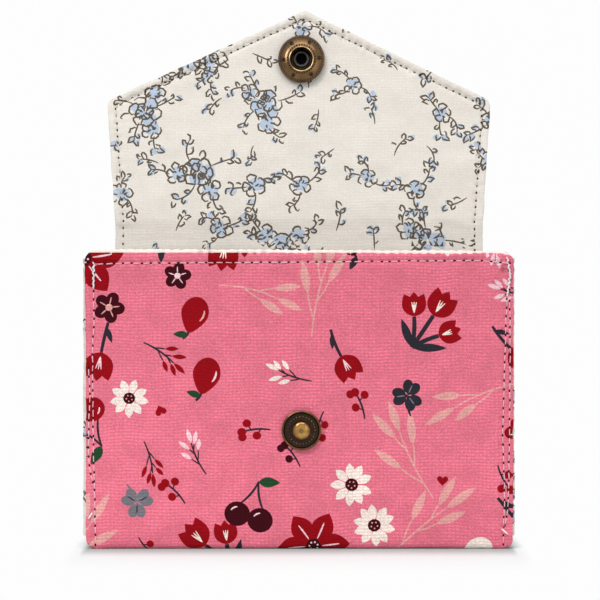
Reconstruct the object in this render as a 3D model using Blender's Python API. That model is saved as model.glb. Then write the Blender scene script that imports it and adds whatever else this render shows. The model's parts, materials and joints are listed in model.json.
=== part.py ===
"""A sewn cloth card wallet, standing on its folded base with its pointed flap open.

Metres, +Z up. X runs across the wallet, -Y is its front, and the origin is the middle
of the flat underside of the base.

How it is built: the front wall, the back wall and the flap are each a printed cotton
cover turned over a stiffener, with a lining behind. The cover and the lining go on
round the base, and over the mouth as an unstiffened fold strip. Pleated gussets join
the two walls at the sides, a divider stands in their pleats, and a slip pocket for
cards is sewn to the back lining. A four-part brass ring snap closes the flap.
"""

from math import asin, atan2, cos, degrees, pi, radians, sin, tan

import bmesh
import bpy
from mathutils import Matrix, Vector

# Body
BODY_WIDTH = 0.120
BODY_HEIGHT = 0.0824
BODY_ROOM = 0.0110  # between the two linings, with the mouth relaxed
BODY_ROUND = 0.0026  # corners, seen from the front
BASE_ROUND = 0.0014  # where the cover turns up from the base into a wall
BASE_LIP = 0.0028  # height of the base strip's turned-up edges

# Cloth
COVER = 0.0005
STIFFENER = 0.0005
LINING = 0.0005
LAYER_GAP = 0.00025  # between two layers of one wall
SEAM_GAP = 0.0003  # between two pieces that meet edge to edge
EDGE_ROUND = 0.0004  # a turned cloth edge
LINING_PROUD = 0.0004  # the lining's rolled edge, above the cover's top edge
STIFFENER_MARGIN = 0.0028  # the stiffener stops short of the topstitching

# Flap, measured along the cloth from the fold at its root
FLAP_ROOT_WIDTH = 0.1049
FLAP_SHOULDER_WIDTH = 0.1114
FLAP_SHOULDER = 0.0380
FLAP_LENGTH = 0.0661
FLAP_POINT_SHIFT = 0.0018  # the point is cut this far right of the middle
FLAP_POINT_ROUND = 0.0015
FLAP_SHOULDER_ROUND = 0.0030
FLAP_ROOT_ROUND = 0.0004
FLAP_LEAN = radians(14)  # how far the open flap leans back
STRIP_LEAN = radians(8)  # how far the fold strip below it leans back
STRIP_OVERLAP = 0.0003  # the strip runs this far past each of its two fold lines
STRIP_RISE = 0.0004  # room between the closed strip and the front wall's top edge
FLAP_ROOM = 0.0004  # room between the closed flap and the front wall at the mouth
CLOSED_MOUTH = 0.0022  # between the two linings at the mouth, with the flap snapped shut

# Gussets
GUSSET_CLOTH = 0.0005
GUSSET_PROUD = 0.0006  # the pleat's outer fold, past the cover's side edge
GUSSET_PLEAT = 0.0090  # depth of the inward pleat
GUSSET_FLANGE = 0.0058  # width sewn to each wall
GUSSET_FOLD = 0.0006  # radius of a pressed fold
GUSSET_DROP = 0.0015  # below the walls' top edge

# Divider and slip pocket
DIVIDER_HEIGHT = 0.0690
DIVIDER_CLOTH = 0.0004
DIVIDER_CORE = 0.0004
DIVIDER_GAP = 0.0002
DIVIDER_SETBACK = 0.00035  # it stands this far in front of the middle
DIVIDER_CORE_MARGIN = 0.0020
POCKET_SIDE_GAP = 0.0068  # between the pocket and a gusset flange
POCKET_HEIGHT = 0.0520
POCKET_CLOTH = 0.0004
POCKET_HEM = 0.0050
POCKET_HEM_CLOTH = 0.0006
POCKET_ROUND = 0.0015

# Ring snap. Radii, and heights above the cloth face that each part sits on
SNAP_SHIFT = 0.0007  # right of the middle, under the flap's point
STUD_DROP = 0.0494  # below the front wall's top edge
STUD_RADIUS = 0.00555
STUD_BEAD = 0.0008
STUD_GROOVE = 0.00035
STUD_HEIGHT = 0.0030
STUD_BALL = 0.0024
STUD_NECK = 0.0020
STUD_NECK_HEIGHT = 0.0010
STUD_BORE = 0.00175
STUD_BORE_DEPTH = 0.0016
BALL_LOW_ANGLE = radians(-29)  # where the ball leaves its neck
BALL_TOP_ANGLE = radians(83)  # where the ball's top dimple starts
POST_RADIUS = 0.00145
POST_FLANGE = 0.0045
POST_FLANGE_ROOM = 0.0004
POST_FLANGE_THICK = 0.0004
SOCKET_RADIUS = 0.0064
SOCKET_HEIGHT = 0.0030
SOCKET_MOUTH = 0.00305
SOCKET_WELL = 0.0036
SOCKET_LIP = 0.0005
SOCKET_FLOOR = 0.0005
SPRING_WIRE = 0.0005
SPRING_INNER = 0.0028
SPRING_SLIT = 0.0008
CAP_HEIGHT = 0.0015
BARREL_RADIUS = 0.00165
BARREL_BORE = 0.0014
FLARE_RADIUS = 0.00225
FLARE_THICK = 0.0003
METAL_GAP = 0.00025
SNAP_ROOM = 0.0002  # between the ball's top and the flare when the snap is shut

# Smoothness and cutters
ROUND_STEPS = 6
BALL_STEPS = 8
EDGE_STEPS = 3
TURN_STEPS = 36
SMOOTH_ANGLE = radians(35)  # a sharper edge than this is shaded as a crease
OVERRUN = 0.002  # how far a cutter runs past what it cuts
LEAST_ROUND_SHARE = 0.2  # an inset corner keeps this share of its round

# Worked out from the sizes above
HALF_ROOM = BODY_ROOM / 2
WALL = COVER + STIFFENER + LINING + 2 * LAYER_GAP
HALF_DEPTH = HALF_ROOM + WALL
WALL_BOTTOM = BASE_LIP + SEAM_GAP
LINING_BOTTOM = WALL_BOTTOM + SEAM_GAP
STRIP_THICK = COVER + LAYER_GAP + LINING
MOUTH_AXIS = Vector((0, COVER / 2 - HALF_DEPTH, (BASE_LIP + WALL_BOTTOM) / 2))
BACK_FOLD = Vector((0, HALF_ROOM + WALL / 2, BODY_HEIGHT + STRIP_THICK / 2 + STRIP_RISE))
DIVIDER_THICK = 2 * DIVIDER_CLOTH + 2 * DIVIDER_GAP + DIVIDER_CORE
DIVIDER_BOTTOM = COVER + LAYER_GAP + LINING + SEAM_GAP
DIVIDER_AXIS = Vector((0, -DIVIDER_SETBACK, DIVIDER_BOTTOM))
POCKET_HALF = BODY_WIDTH / 2 + GUSSET_PROUD - GUSSET_FLANGE - POCKET_SIDE_GAP


def turned(point, angle):
    """A (y, z) point, turned about X so that its top comes forward."""
    y, z = point
    return Vector((y * cos(angle) - z * sin(angle), y * sin(angle) + z * cos(angle)))


# The shut wallet: the front wall leans back until only CLOSED_MOUTH is left between
# the linings, and the flap comes down in front of it with its socket over the stud.
MOUTH_CLOSING = asin((BODY_ROOM - CLOSED_MOUTH) / (BODY_HEIGHT - MOUTH_AXIS.z))
AXIS_YZ = MOUTH_AXIS.yz
SHUT_TOP = AXIS_YZ + turned((-COVER / 2, BODY_HEIGHT - MOUTH_AXIS.z), -MOUTH_CLOSING)
STRIP_LENGTH = BACK_FOLD.y - SHUT_TOP.x + FLAP_ROOM + WALL / 2
SHUT_FOLD = Vector((BACK_FOLD.y - STRIP_LENGTH, BACK_FOLD.z))
STUD_HIGH = BODY_HEIGHT - STUD_DROP
FLARE_TOP = METAL_GAP + SOCKET_FLOOR + METAL_GAP + FLARE_THICK
SNAP_STACK = METAL_GAP + STUD_HEIGHT + SNAP_ROOM + FLARE_TOP
SHUT_SOCKET = AXIS_YZ + turned(
    (-COVER / 2 - SNAP_STACK, STUD_HIGH - MOUTH_AXIS.z), -MOUTH_CLOSING
)
REACH = SHUT_SOCKET - SHUT_FOLD
SOCKET_ALONG = (REACH.length_squared - (WALL / 2) ** 2) ** 0.5
SHUT_SPREAD = atan2(-REACH.x, -REACH.y) + atan2(WALL / 2, SOCKET_ALONG)
STRIP_CLOSING = pi / 2 + STRIP_LEAN
FLAP_CLOSING = pi + FLAP_LEAN - SHUT_SPREAD - STRIP_CLOSING
FRONT_FOLD = BACK_FOLD + STRIP_LENGTH * Vector((0, sin(STRIP_LEAN), cos(STRIP_LEAN)))
FLAP_START = STRIP_THICK / 2 + SEAM_GAP


def clear_scene():
    for obj in list(bpy.data.objects):
        bpy.data.objects.remove(obj)


def material(name, colour, roughness, metallic=0.0):
    made = bpy.data.materials.new(name)
    made.use_nodes = True
    shader = made.node_tree.nodes["Principled BSDF"]
    shader.inputs["Base Color"].default_value = (*colour, 1)
    shader.inputs["Roughness"].default_value = roughness
    shader.inputs["Metallic"].default_value = metallic
    made.diffuse_color = (*colour, 1)
    return made


def axis_empty(name, place, lean=0.0, parent=None):
    """An empty on a fold line. A positive lean tips its Z back, towards +Y."""
    empty = bpy.data.objects.new(name, None)
    bpy.context.scene.collection.objects.link(empty)
    empty.rotation_euler.x = -lean
    empty.location = place
    if parent:
        bpy.context.view_layer.update()
        empty.parent = parent
        empty.matrix_parent_inverse = parent.matrix_world.inverted()
    return empty


def solid(name, bm, finish, carrier=None, own_frame=False):
    """Turns a bmesh into an object. The points are the wallet's, or the carrier's own."""
    bmesh.ops.recalc_face_normals(bm, faces=bm.faces)
    if carrier and not own_frame:
        bm.transform(Matrix.Translation(-carrier.location))
    mesh = bpy.data.meshes.new(name)
    bm.to_mesh(mesh)
    bm.free()
    mesh.shade_smooth()
    mesh.set_sharp_from_angle(angle=SMOOTH_ANGLE)
    mesh.materials.append(finish)
    obj = bpy.data.objects.new(name, mesh)
    bpy.context.scene.collection.objects.link(obj)
    obj.parent = carrier
    return obj


def cut(obj, bm, carrier=None, own_frame=False, keep_inside=False):
    """Cuts a hidden helper out of obj, or keeps only what is inside it."""
    helper = solid(f"{obj.name}_cutter", bm, obj.data.materials[0], carrier, own_frame)
    helper.hide_render = True
    helper.display_type = "WIRE"
    modifier = obj.modifiers.new("cut", "BOOLEAN")
    modifier.operation = "INTERSECT" if keep_inside else "DIFFERENCE"
    modifier.solver = "EXACT"
    modifier.object = helper


def inset(corners, amount):
    """Moves every side of an anticlockwise outline inwards by amount."""
    moved = []
    count = len(corners)
    for i, corner in enumerate(corners):
        before = (corner - corners[i - 1]).normalized()
        after = (corners[(i + 1) % count] - corner).normalized()
        first = Vector((-before.y, before.x))
        second = Vector((-after.y, after.x))
        moved.append(corner + (first + second) * (amount / (1 + first.dot(second))))
    return moved


def rounded(corners, rounds, amount=0.0):
    """The points of an outline with each corner rounded, inset by amount."""
    points = []
    moved = inset(corners, amount)
    count = len(moved)
    for i, corner in enumerate(moved):
        radius = max(rounds[i] - amount, LEAST_ROUND_SHARE * rounds[i])
        to_last = (moved[i - 1] - corner).normalized()
        to_next = (moved[(i + 1) % count] - corner).normalized()
        half = to_last.angle(to_next) / 2
        centre = corner + (to_last + to_next).normalized() * (radius / sin(half))
        start = corner + to_last * (radius / tan(half)) - centre
        sweep = pi - 2 * half
        for step in range(ROUND_STEPS + 1):
            angle = sweep * step / ROUND_STEPS
            points.append(centre + Matrix.Rotation(angle, 2) @ start)
    return points


def skin(rings, closed=False):
    """A bmesh through rings of points: capped at both ends, or closed into a loop."""
    bm = bmesh.new()
    rows = [[bm.verts.new(point) for point in ring] for ring in rings]
    if closed:
        rows.append(rows[0])
    else:
        bm.faces.new(rows[0])
        bm.faces.new(reversed(rows[-1]))
    count = len(rows[0])
    for near, far in zip(rows, rows[1:]):
        for i in range(count):
            j = (i + 1) % count
            bm.faces.new((near[i], near[j], far[j], far[i]))
    return bm


def slab(corners, rounds, face_y, back_y, edge=EDGE_ROUND):
    """A sheet in XZ between two Y planes, its edge rounded towards face_y."""
    side = 1 if back_y > face_y else -1
    rings = []
    for step in range(EDGE_STEPS + 1):
        turn = pi / 2 * step / EDGE_STEPS
        outline = rounded(corners, rounds, edge * (1 - sin(turn)))
        y = face_y + side * edge * (1 - cos(turn))
        rings.append([(p.x, y, p.y) for p in outline])
    rings.append([(p.x, back_y, p.y) for p in rounded(corners, rounds)])
    return skin(rings)


def turned_ring(profile, x, z, start_y, side, loop=True):
    """Turns (radius, height) points about a Y axis at x, z. Heights go along side."""
    rings = []
    for radius, height in profile:
        ring = []
        for step in range(TURN_STEPS):
            angle = 2 * pi * step / TURN_STEPS
            across = x + radius * cos(angle)
            ring.append((across, start_y + side * height, z + radius * sin(angle)))
        rings.append(ring)
    return skin(rings, closed=loop)


def drill(radius, x, z, start_y, end_y):
    """A round cutter along Y that runs past both faces."""
    low, high = sorted((start_y, end_y))
    profile = [(radius, -OVERRUN), (radius, high - low + OVERRUN)]
    return turned_ring(profile, x, z, low, 1, loop=False)


def path_with_folds(points, radius):
    """An open line through points, with a round of that radius at each fold."""
    line = [points[0]]
    for before, corner, after in zip(points, points[1:], points[2:]):
        to_last = (before - corner).normalized()
        to_next = (after - corner).normalized()
        half = to_last.angle(to_next) / 2
        centre = corner + (to_last + to_next).normalized() * (radius / sin(half))
        start = corner + to_last * (radius / tan(half)) - centre
        turn = to_next.x * to_last.y - to_next.y * to_last.x
        sweep = (pi - 2 * half) * (-1 if turn > 0 else 1)
        for step in range(ROUND_STEPS + 1):
            angle = -sweep * step / ROUND_STEPS
            line.append(centre + Matrix.Rotation(angle, 2) @ start)
    line.append(points[-1])
    return line


def ribbon(line, thick, place):
    """A strip of cloth of that thickness along a 2-D line, between place's two ends."""
    rings = []
    count = len(line)
    for i, point in enumerate(line):
        along = (line[min(i + 1, count - 1)] - line[max(i - 1, 0)]).normalized()
        off = Vector((-along.y, along.x)) * thick / 2
        near, far = point + off, point - off
        rings.append([place(near, 0), place(far, 0), place(far, 1), place(near, 1)])
    return skin(rings)


def wall_corners(half_width, bottom, top):
    return [
        Vector((-half_width, bottom)),
        Vector((half_width, bottom)),
        Vector((half_width, top)),
        Vector((-half_width, top)),
    ]


def turned_in_cover(name, corners, rounds, open_side, face_y, side, finish, carrier, own):
    """A cover whose edges are turned in over the stiffener, but for the open side."""
    depth = WALL - LINING - LAYER_GAP
    cover = solid(
        name,
        slab(corners, rounds, face_y, face_y + side * depth),
        finish,
        carrier,
        own,
    )
    inner = inset(corners, COVER)
    for i in open_side:
        inner[i].y = corners[i].y - OVERRUN
    inner_rounds = [max(r - COVER, LEAST_ROUND_SHARE * r) for r in rounds]
    hollow = slab(
        inner,
        inner_rounds,
        face_y + side * COVER,
        face_y + side * (depth + OVERRUN),
    )
    cut(cover, hollow, carrier, own)
    return cover


def make_wall(name, side, finishes, carrier=None):
    """The front (side -1) or back (side 1) wall: cover, stiffener and lining."""
    face = side * HALF_DEPTH
    half = BODY_WIDTH / 2
    corners = wall_corners(half, WALL_BOTTOM, BODY_HEIGHT)
    rounds = [EDGE_ROUND, EDGE_ROUND, BODY_ROUND, BODY_ROUND]
    cover = turned_in_cover(
        f"{name}_cover", corners, rounds, (0, 1), face, -side, finishes["print"], carrier, False
    )
    core_face = face - side * (COVER + LAYER_GAP)
    core_top = BODY_HEIGHT - STIFFENER_MARGIN
    core = solid(
        f"{name}_stiffener",
        slab(
            wall_corners(half - STIFFENER_MARGIN, LINING_BOTTOM, core_top),
            rounds,
            core_face,
            core_face - side * STIFFENER,
            STIFFENER / 2,
        ),
        finishes["stiffener"],
        carrier,
    )
    inner_face = side * HALF_ROOM
    lining_top = BODY_HEIGHT + (LINING_PROUD if side < 0 else 0)
    lining = solid(
        f"{name}_lining",
        slab(
            wall_corners(half, LINING_BOTTOM, lining_top),
            rounds,
            inner_face,
            inner_face + side * LINING,
        ),
        finishes["lining"],
        carrier,
    )
    return cover, core, lining


def make_base_strip(name, layer_y, low, round_radius, half_width, thick, finish):
    """A strip along the base with both edges turned up into the walls."""
    line = path_with_folds(
        [
            Vector((-layer_y, BASE_LIP)),
            Vector((-layer_y, low + thick / 2)),
            Vector((layer_y, low + thick / 2)),
            Vector((layer_y, BASE_LIP)),
        ],
        round_radius,
    )
    ends = (-half_width, half_width)
    strip = ribbon(line, thick, lambda p, end: (ends[end], p.x, p.y))
    return solid(name, strip, finish)


def make_base(finishes):
    cover = make_base_strip(
        "base_cover",
        HALF_DEPTH - COVER / 2,
        0,
        BASE_ROUND,
        BODY_WIDTH / 2,
        COVER,
        finishes["print"],
    )
    half = BODY_WIDTH / 2
    silhouette = wall_corners(half, 0, BODY_HEIGHT)
    reach = HALF_DEPTH + OVERRUN
    rounds = [BODY_ROUND] * len(silhouette)
    cut(cover, slab(silhouette, rounds, -reach, reach), keep_inside=True)
    make_base_strip(
        "base_lining",
        HALF_ROOM + LINING / 2,
        COVER + LAYER_GAP,
        BASE_ROUND - COVER - LAYER_GAP + LINING,
        half - BODY_ROUND / 2,
        LINING,
        finishes["lining"],
    )


def make_gusset(name, side, finish):
    """A pleated side: a flange on each wall and one pleat that folds inwards."""
    fold_x = BODY_WIDTH / 2 + GUSSET_PROUD
    flange_y = HALF_ROOM - LAYER_GAP - GUSSET_CLOTH / 2
    points = [
        Vector((fold_x - GUSSET_FLANGE, -flange_y)),
        Vector((fold_x, -flange_y)),
        Vector((fold_x - GUSSET_PLEAT, 0)),
        Vector((fold_x, flange_y)),
        Vector((fold_x - GUSSET_FLANGE, flange_y)),
    ]
    line = path_with_folds([Vector((side * p.x, p.y)) for p in points], GUSSET_FOLD)
    ends = (LINING_BOTTOM, BODY_HEIGHT - GUSSET_DROP)
    pleats = ribbon(line, GUSSET_CLOTH, lambda p, end: (p.x, p.y, ends[end]))
    return solid(name, pleats, finish)


def make_divider(finishes, carrier):
    """Lining cloth folded over a core, standing in the pleats of the gussets."""
    half_y = (DIVIDER_THICK - DIVIDER_CLOTH) / 2
    middle = DIVIDER_AXIS.y
    top = DIVIDER_BOTTOM + DIVIDER_HEIGHT
    line = [Vector((middle - half_y, DIVIDER_BOTTOM))]
    for step in range(ROUND_STEPS + 1):
        angle = pi * step / ROUND_STEPS
        line.append(Vector((middle - half_y * cos(angle), top - half_y + half_y * sin(angle))))
    line.append(Vector((middle + half_y, DIVIDER_BOTTOM)))
    pleat_x = BODY_WIDTH / 2 + GUSSET_PROUD - GUSSET_PLEAT
    half = pleat_x - GUSSET_CLOTH / 2 - SEAM_GAP
    ends = (-half, half)
    cloth = ribbon(line, DIVIDER_CLOTH, lambda p, end: (ends[end], p.x, p.y))
    solid("divider_cloth", cloth, finishes["lining"], carrier)
    core = slab(
        wall_corners(
            half - DIVIDER_CORE_MARGIN,
            DIVIDER_BOTTOM + DIVIDER_CORE_MARGIN,
            top - DIVIDER_THICK / 2 - DIVIDER_GAP,
        ),
        [DIVIDER_CORE] * 4,
        middle - DIVIDER_CORE / 2,
        middle + DIVIDER_CORE / 2,
        DIVIDER_CORE / 4,
    )
    solid("divider_core", core, finishes["stiffener"], carrier)


def make_slip_pocket(finish):
    """A card pocket on the back lining, with its hem turned down at the top."""
    near = HALF_ROOM - LAYER_GAP
    bottom = LINING_BOTTOM
    top = bottom + POCKET_HEIGHT
    hem = POCKET_HEM_CLOTH
    plain = slab(
        wall_corners(POCKET_HALF, bottom, top),
        [POCKET_ROUND, POCKET_ROUND, hem, hem],
        near - hem,
        near,
        POCKET_CLOTH / 2,
    )
    pocket = solid("slip_pocket", plain, finish)
    shave = slab(
        wall_corners(POCKET_HALF + OVERRUN, bottom - OVERRUN, top - POCKET_HEM),
        [hem] * 4,
        near - POCKET_CLOTH,
        near - hem - OVERRUN,
        hem - POCKET_CLOTH,
    )
    cut(pocket, shave)


def make_fold_strip(finishes, carrier):
    """The unstiffened strip over the mouth, in its own frame with Z along the cloth."""
    half = FLAP_ROOT_WIDTH / 2
    corners = wall_corners(half, -STRIP_OVERLAP, STRIP_LENGTH + STRIP_OVERLAP)
    rounds = [EDGE_ROUND / 2] * len(corners)
    outside = STRIP_THICK / 2
    cover = slab(corners, rounds, outside, outside - COVER, COVER / 2)
    solid("fold_cover", cover, finishes["print"], carrier, True)
    lining = slab(corners, rounds, -outside, LINING - outside, LINING / 2)
    solid("fold_lining", lining, finishes["lining"], carrier, True)


def make_flap(finishes, carrier):
    """The flap in its own frame: Z along the cloth, -Y the lining side."""
    root = FLAP_ROOT_WIDTH / 2
    shoulder = FLAP_SHOULDER_WIDTH / 2
    corners = [
        Vector((-root, FLAP_START)),
        Vector((root, FLAP_START)),
        Vector((shoulder, FLAP_SHOULDER)),
        Vector((FLAP_POINT_SHIFT, FLAP_LENGTH)),
        Vector((-shoulder, FLAP_SHOULDER)),
    ]
    rounds = [
        FLAP_ROOT_ROUND,
        FLAP_ROOT_ROUND,
        FLAP_SHOULDER_ROUND,
        FLAP_POINT_ROUND,
        FLAP_SHOULDER_ROUND,
    ]
    outside = WALL / 2
    cover = turned_in_cover(
        "flap_cover", corners, rounds, (0, 1), outside, -1, finishes["print"], carrier, True
    )
    core_y = outside - COVER - LAYER_GAP
    core_corners = inset(corners, STIFFENER_MARGIN)
    core = solid(
        "flap_stiffener",
        slab(core_corners, rounds, core_y, core_y - STIFFENER, STIFFENER / 2),
        finishes["stiffener"],
        carrier,
        True,
    )
    lining = solid(
        "flap_lining",
        slab(corners, rounds, -outside, LINING - outside),
        finishes["lining"],
        carrier,
        True,
    )
    hole = BARREL_RADIUS + SEAM_GAP
    for layer in (cover, core, lining):
        cut(layer, drill(hole, SNAP_SHIFT, SOCKET_ALONG, -WALL, WALL), carrier, True)


def make_stud(finishes, carrier):
    """The ball half of the snap, and the post that rivets it through the cover."""
    face = -HALF_DEPTH
    bead_low = STUD_RADIUS - STUD_BEAD
    profile = [
        (STUD_BORE, 0),
        (STUD_RADIUS - STUD_BEAD / 3, 0),
        (STUD_RADIUS, STUD_BEAD / 3),
        (STUD_RADIUS - STUD_BEAD / 8, STUD_BEAD * 0.8),
        (STUD_RADIUS - STUD_BEAD / 2, STUD_BEAD),
        (bead_low, STUD_BEAD * 0.85),
        (bead_low - STUD_BEAD / 2, STUD_GROOVE),
        (STUD_NECK + STUD_GROOVE, STUD_GROOVE),
        (STUD_NECK, STUD_GROOVE + STUD_GROOVE / 2),
        (STUD_NECK, STUD_NECK_HEIGHT),
    ]
    ball_half = (STUD_HEIGHT - STUD_NECK_HEIGHT) / 2
    ball_middle = STUD_NECK_HEIGHT + ball_half
    ball_sweep = BALL_TOP_ANGLE - BALL_LOW_ANGLE
    for step in range(BALL_STEPS + 1):
        angle = BALL_LOW_ANGLE + ball_sweep * step / BALL_STEPS
        profile.append((STUD_BALL * cos(angle), ball_middle + ball_half * sin(angle)))
    profile.append((STUD_BALL / 9, STUD_HEIGHT - STUD_BEAD / 8))
    profile.append((STUD_BALL / 12, STUD_BORE_DEPTH + STUD_BEAD / 2))
    profile.append((STUD_BORE - STUD_BALL / 8, STUD_BORE_DEPTH))
    profile.append((STUD_BORE, STUD_BORE_DEPTH * 0.8))
    stud = turned_ring(profile, SNAP_SHIFT, STUD_HIGH, face - METAL_GAP, -1)
    solid("snap_stud", stud, finishes["bright_brass"], carrier)
    post_base = face + COVER + LAYER_GAP
    to_cover = post_base - (face - METAL_GAP)
    tip = to_cover + STUD_BORE_DEPTH - METAL_GAP
    post_profile = [
        (POST_RADIUS / 3, -POST_FLANGE_THICK),
        (POST_FLANGE, -POST_FLANGE_THICK),
        (POST_FLANGE, 0),
        (POST_RADIUS, 0),
        (POST_RADIUS, tip - POST_RADIUS / 4),
        (POST_RADIUS * 0.8, tip),
        (POST_RADIUS / 3, tip),
    ]
    post = turned_ring(post_profile, SNAP_SHIFT, STUD_HIGH, post_base, -1, loop=False)
    solid("snap_post", post, finishes["brass"], carrier)


def make_socket(finishes, carrier):
    """The ring half of the snap on the flap: cap and barrel, socket, and ring spring."""
    face = -WALL / 2 - METAL_GAP
    hole = BARREL_RADIUS + METAL_GAP
    lip_low = SOCKET_HEIGHT - SOCKET_LIP
    profile = [
        (hole, 0),
        (SOCKET_RADIUS - SOCKET_LIP, 0),
        (SOCKET_RADIUS, SOCKET_LIP),
        (SOCKET_RADIUS - SOCKET_LIP / 8, SOCKET_LIP * 2),
        (SOCKET_RADIUS * 0.90, SOCKET_HEIGHT * 0.60),
        (SOCKET_RADIUS * 0.79, SOCKET_HEIGHT * 0.85),
        (SOCKET_RADIUS * 0.68, SOCKET_HEIGHT * 0.975),
        (SOCKET_RADIUS * 0.60, SOCKET_HEIGHT),
        (SOCKET_MOUTH + SOCKET_LIP / 2, SOCKET_HEIGHT),
        (SOCKET_MOUTH, SOCKET_HEIGHT - SOCKET_LIP / 2),
        (SOCKET_MOUTH, lip_low),
        (SOCKET_WELL, lip_low - SOCKET_LIP / 4),
        (SOCKET_WELL, SOCKET_FLOOR),
        (hole, SOCKET_FLOOR),
    ]
    socket = turned_ring(profile, SNAP_SHIFT, SOCKET_ALONG, face, -1)
    solid("snap_socket", socket, finishes["brass"], carrier, True)

    spring_high = lip_low - SOCKET_LIP / 4 - METAL_GAP
    wire = SPRING_WIRE
    spring_profile = [
        (SPRING_INNER, spring_high - wire),
        (SPRING_INNER + wire, spring_high - wire),
        (SPRING_INNER + wire, spring_high),
        (SPRING_INNER, spring_high),
    ]
    ring = turned_ring(spring_profile, SNAP_SHIFT, SOCKET_ALONG, face, -1)
    spring = solid("snap_spring", ring, finishes["steel"], carrier, True)
    slit = slab(
        wall_corners(SPRING_SLIT / 2, 0, SPRING_INNER + wire + OVERRUN),
        [wire / 4] * 4,
        face - SOCKET_HEIGHT - OVERRUN,
        face + OVERRUN,
        wire / 8,
    )
    slit.transform(Matrix.Translation((SNAP_SHIFT, 0, SOCKET_ALONG)))
    cut(spring, slit, carrier, True)

    outside = WALL / 2 + METAL_GAP
    to_flare = outside + WALL / 2 + FLARE_TOP
    cap_profile = [
        (BARREL_BORE, CAP_HEIGHT * 0.35),
        (BARREL_BORE, -to_flare),
        (FLARE_RADIUS, -to_flare + FLARE_THICK / 2),
        (FLARE_RADIUS, -to_flare + FLARE_THICK),
        (BARREL_RADIUS, -to_flare + FLARE_THICK),
        (BARREL_RADIUS, 0),
        (SOCKET_RADIUS * 0.95, 0),
        (SOCKET_RADIUS, CAP_HEIGHT * 0.25),
        (SOCKET_RADIUS * 0.96, CAP_HEIGHT * 0.55),
        (SOCKET_RADIUS * 0.78, CAP_HEIGHT * 0.85),
        (SOCKET_RADIUS * 0.45, CAP_HEIGHT * 0.97),
        (SOCKET_RADIUS * 0.12, CAP_HEIGHT),
    ]
    cap = turned_ring(cap_profile, SNAP_SHIFT, SOCKET_ALONG, outside, 1, loop=False)
    solid("snap_cap", cap, finishes["brass"], carrier, True)


def main():
    clear_scene()
    finishes = {
        "print": material("printed_cotton", (0.83, 0.20, 0.30), 0.85),
        "lining": material("lining_cotton", (0.82, 0.79, 0.74), 0.85),
        "stiffener": material("interlining", (0.78, 0.78, 0.76), 0.9),
        "brass": material("antique_brass", (0.17, 0.11, 0.05), 0.42, 1.0),
        "bright_brass": material("bright_brass", (0.42, 0.29, 0.13), 0.32, 1.0),
        "steel": material("spring_steel", (0.25, 0.24, 0.23), 0.35, 1.0),
    }
    mouth = axis_empty("mouth_axis", MOUTH_AXIS)
    divider = axis_empty("divider_axis", DIVIDER_AXIS)
    strip = axis_empty("back_fold_axis", BACK_FOLD, STRIP_LEAN)
    flap = axis_empty("front_fold_axis", FRONT_FOLD, FLAP_LEAN)

    front_cover, front_core, _ = make_wall("front", -1, finishes, mouth)
    make_wall("back", 1, finishes)
    make_base(finishes)
    make_gusset("left_gusset", -1, finishes["lining"])
    make_gusset("right_gusset", 1, finishes["lining"])
    make_divider(finishes, divider)
    make_slip_pocket(finishes["lining"])
    make_fold_strip(finishes, strip)
    make_flap(finishes, flap)

    outer, inner = -HALF_DEPTH, -HALF_ROOM
    post_hole = POST_RADIUS + SEAM_GAP
    cut(front_cover, drill(post_hole, SNAP_SHIFT, STUD_HIGH, outer, inner), mouth)
    flange_hole = POST_FLANGE + POST_FLANGE_ROOM
    cut(front_core, drill(flange_hole, SNAP_SHIFT, STUD_HIGH, outer, inner), mouth)
    make_stud(finishes, mouth)
    make_socket(finishes, flap)

    for name, place in (("mouth", MOUTH_AXIS), ("divider", DIVIDER_AXIS)):
        print(f"{name} axis", [round(value, 6) for value in place])
    for name, place in (("back fold", BACK_FOLD), ("front fold", FRONT_FOLD)):
        print(f"{name} axis", [round(value, 6) for value in place])
    print("strip closes by", round(degrees(STRIP_CLOSING), 3))
    print("flap closes by", round(degrees(FLAP_CLOSING), 3), "more")
    print("mouth closes by", round(degrees(MOUTH_CLOSING), 3))
    print("strip length", round(STRIP_LENGTH, 5), "socket along flap", round(SOCKET_ALONG, 5))
    print("stud height", round(STUD_HIGH, 5))


main()
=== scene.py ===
# %% [markdown]
# # A sewn cloth card wallet
#
# The wallet is two layers of printed cotton, sewn together over a stiffening, with a
# brass ring snap. Its solid model is already exact, so every length here starts from it:
# the cloth faces, threads and metal below are laid on its planes, and some are attached
# to its bodies.
#
# The cloth is the hard part. A print needs crisp colour edges, and an image texture isn't
# wanted, so each cloth face is one flat triangulated net in which the outlines of the
# printed motifs are edges. The net is then laid on the wallet and its edges are turned.

import json
import random
from math import ceil, cos, pi, radians, sin, tan, tau

import bmesh
import bpy
import numpy as np
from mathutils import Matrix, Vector, geometry, kdtree


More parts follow.
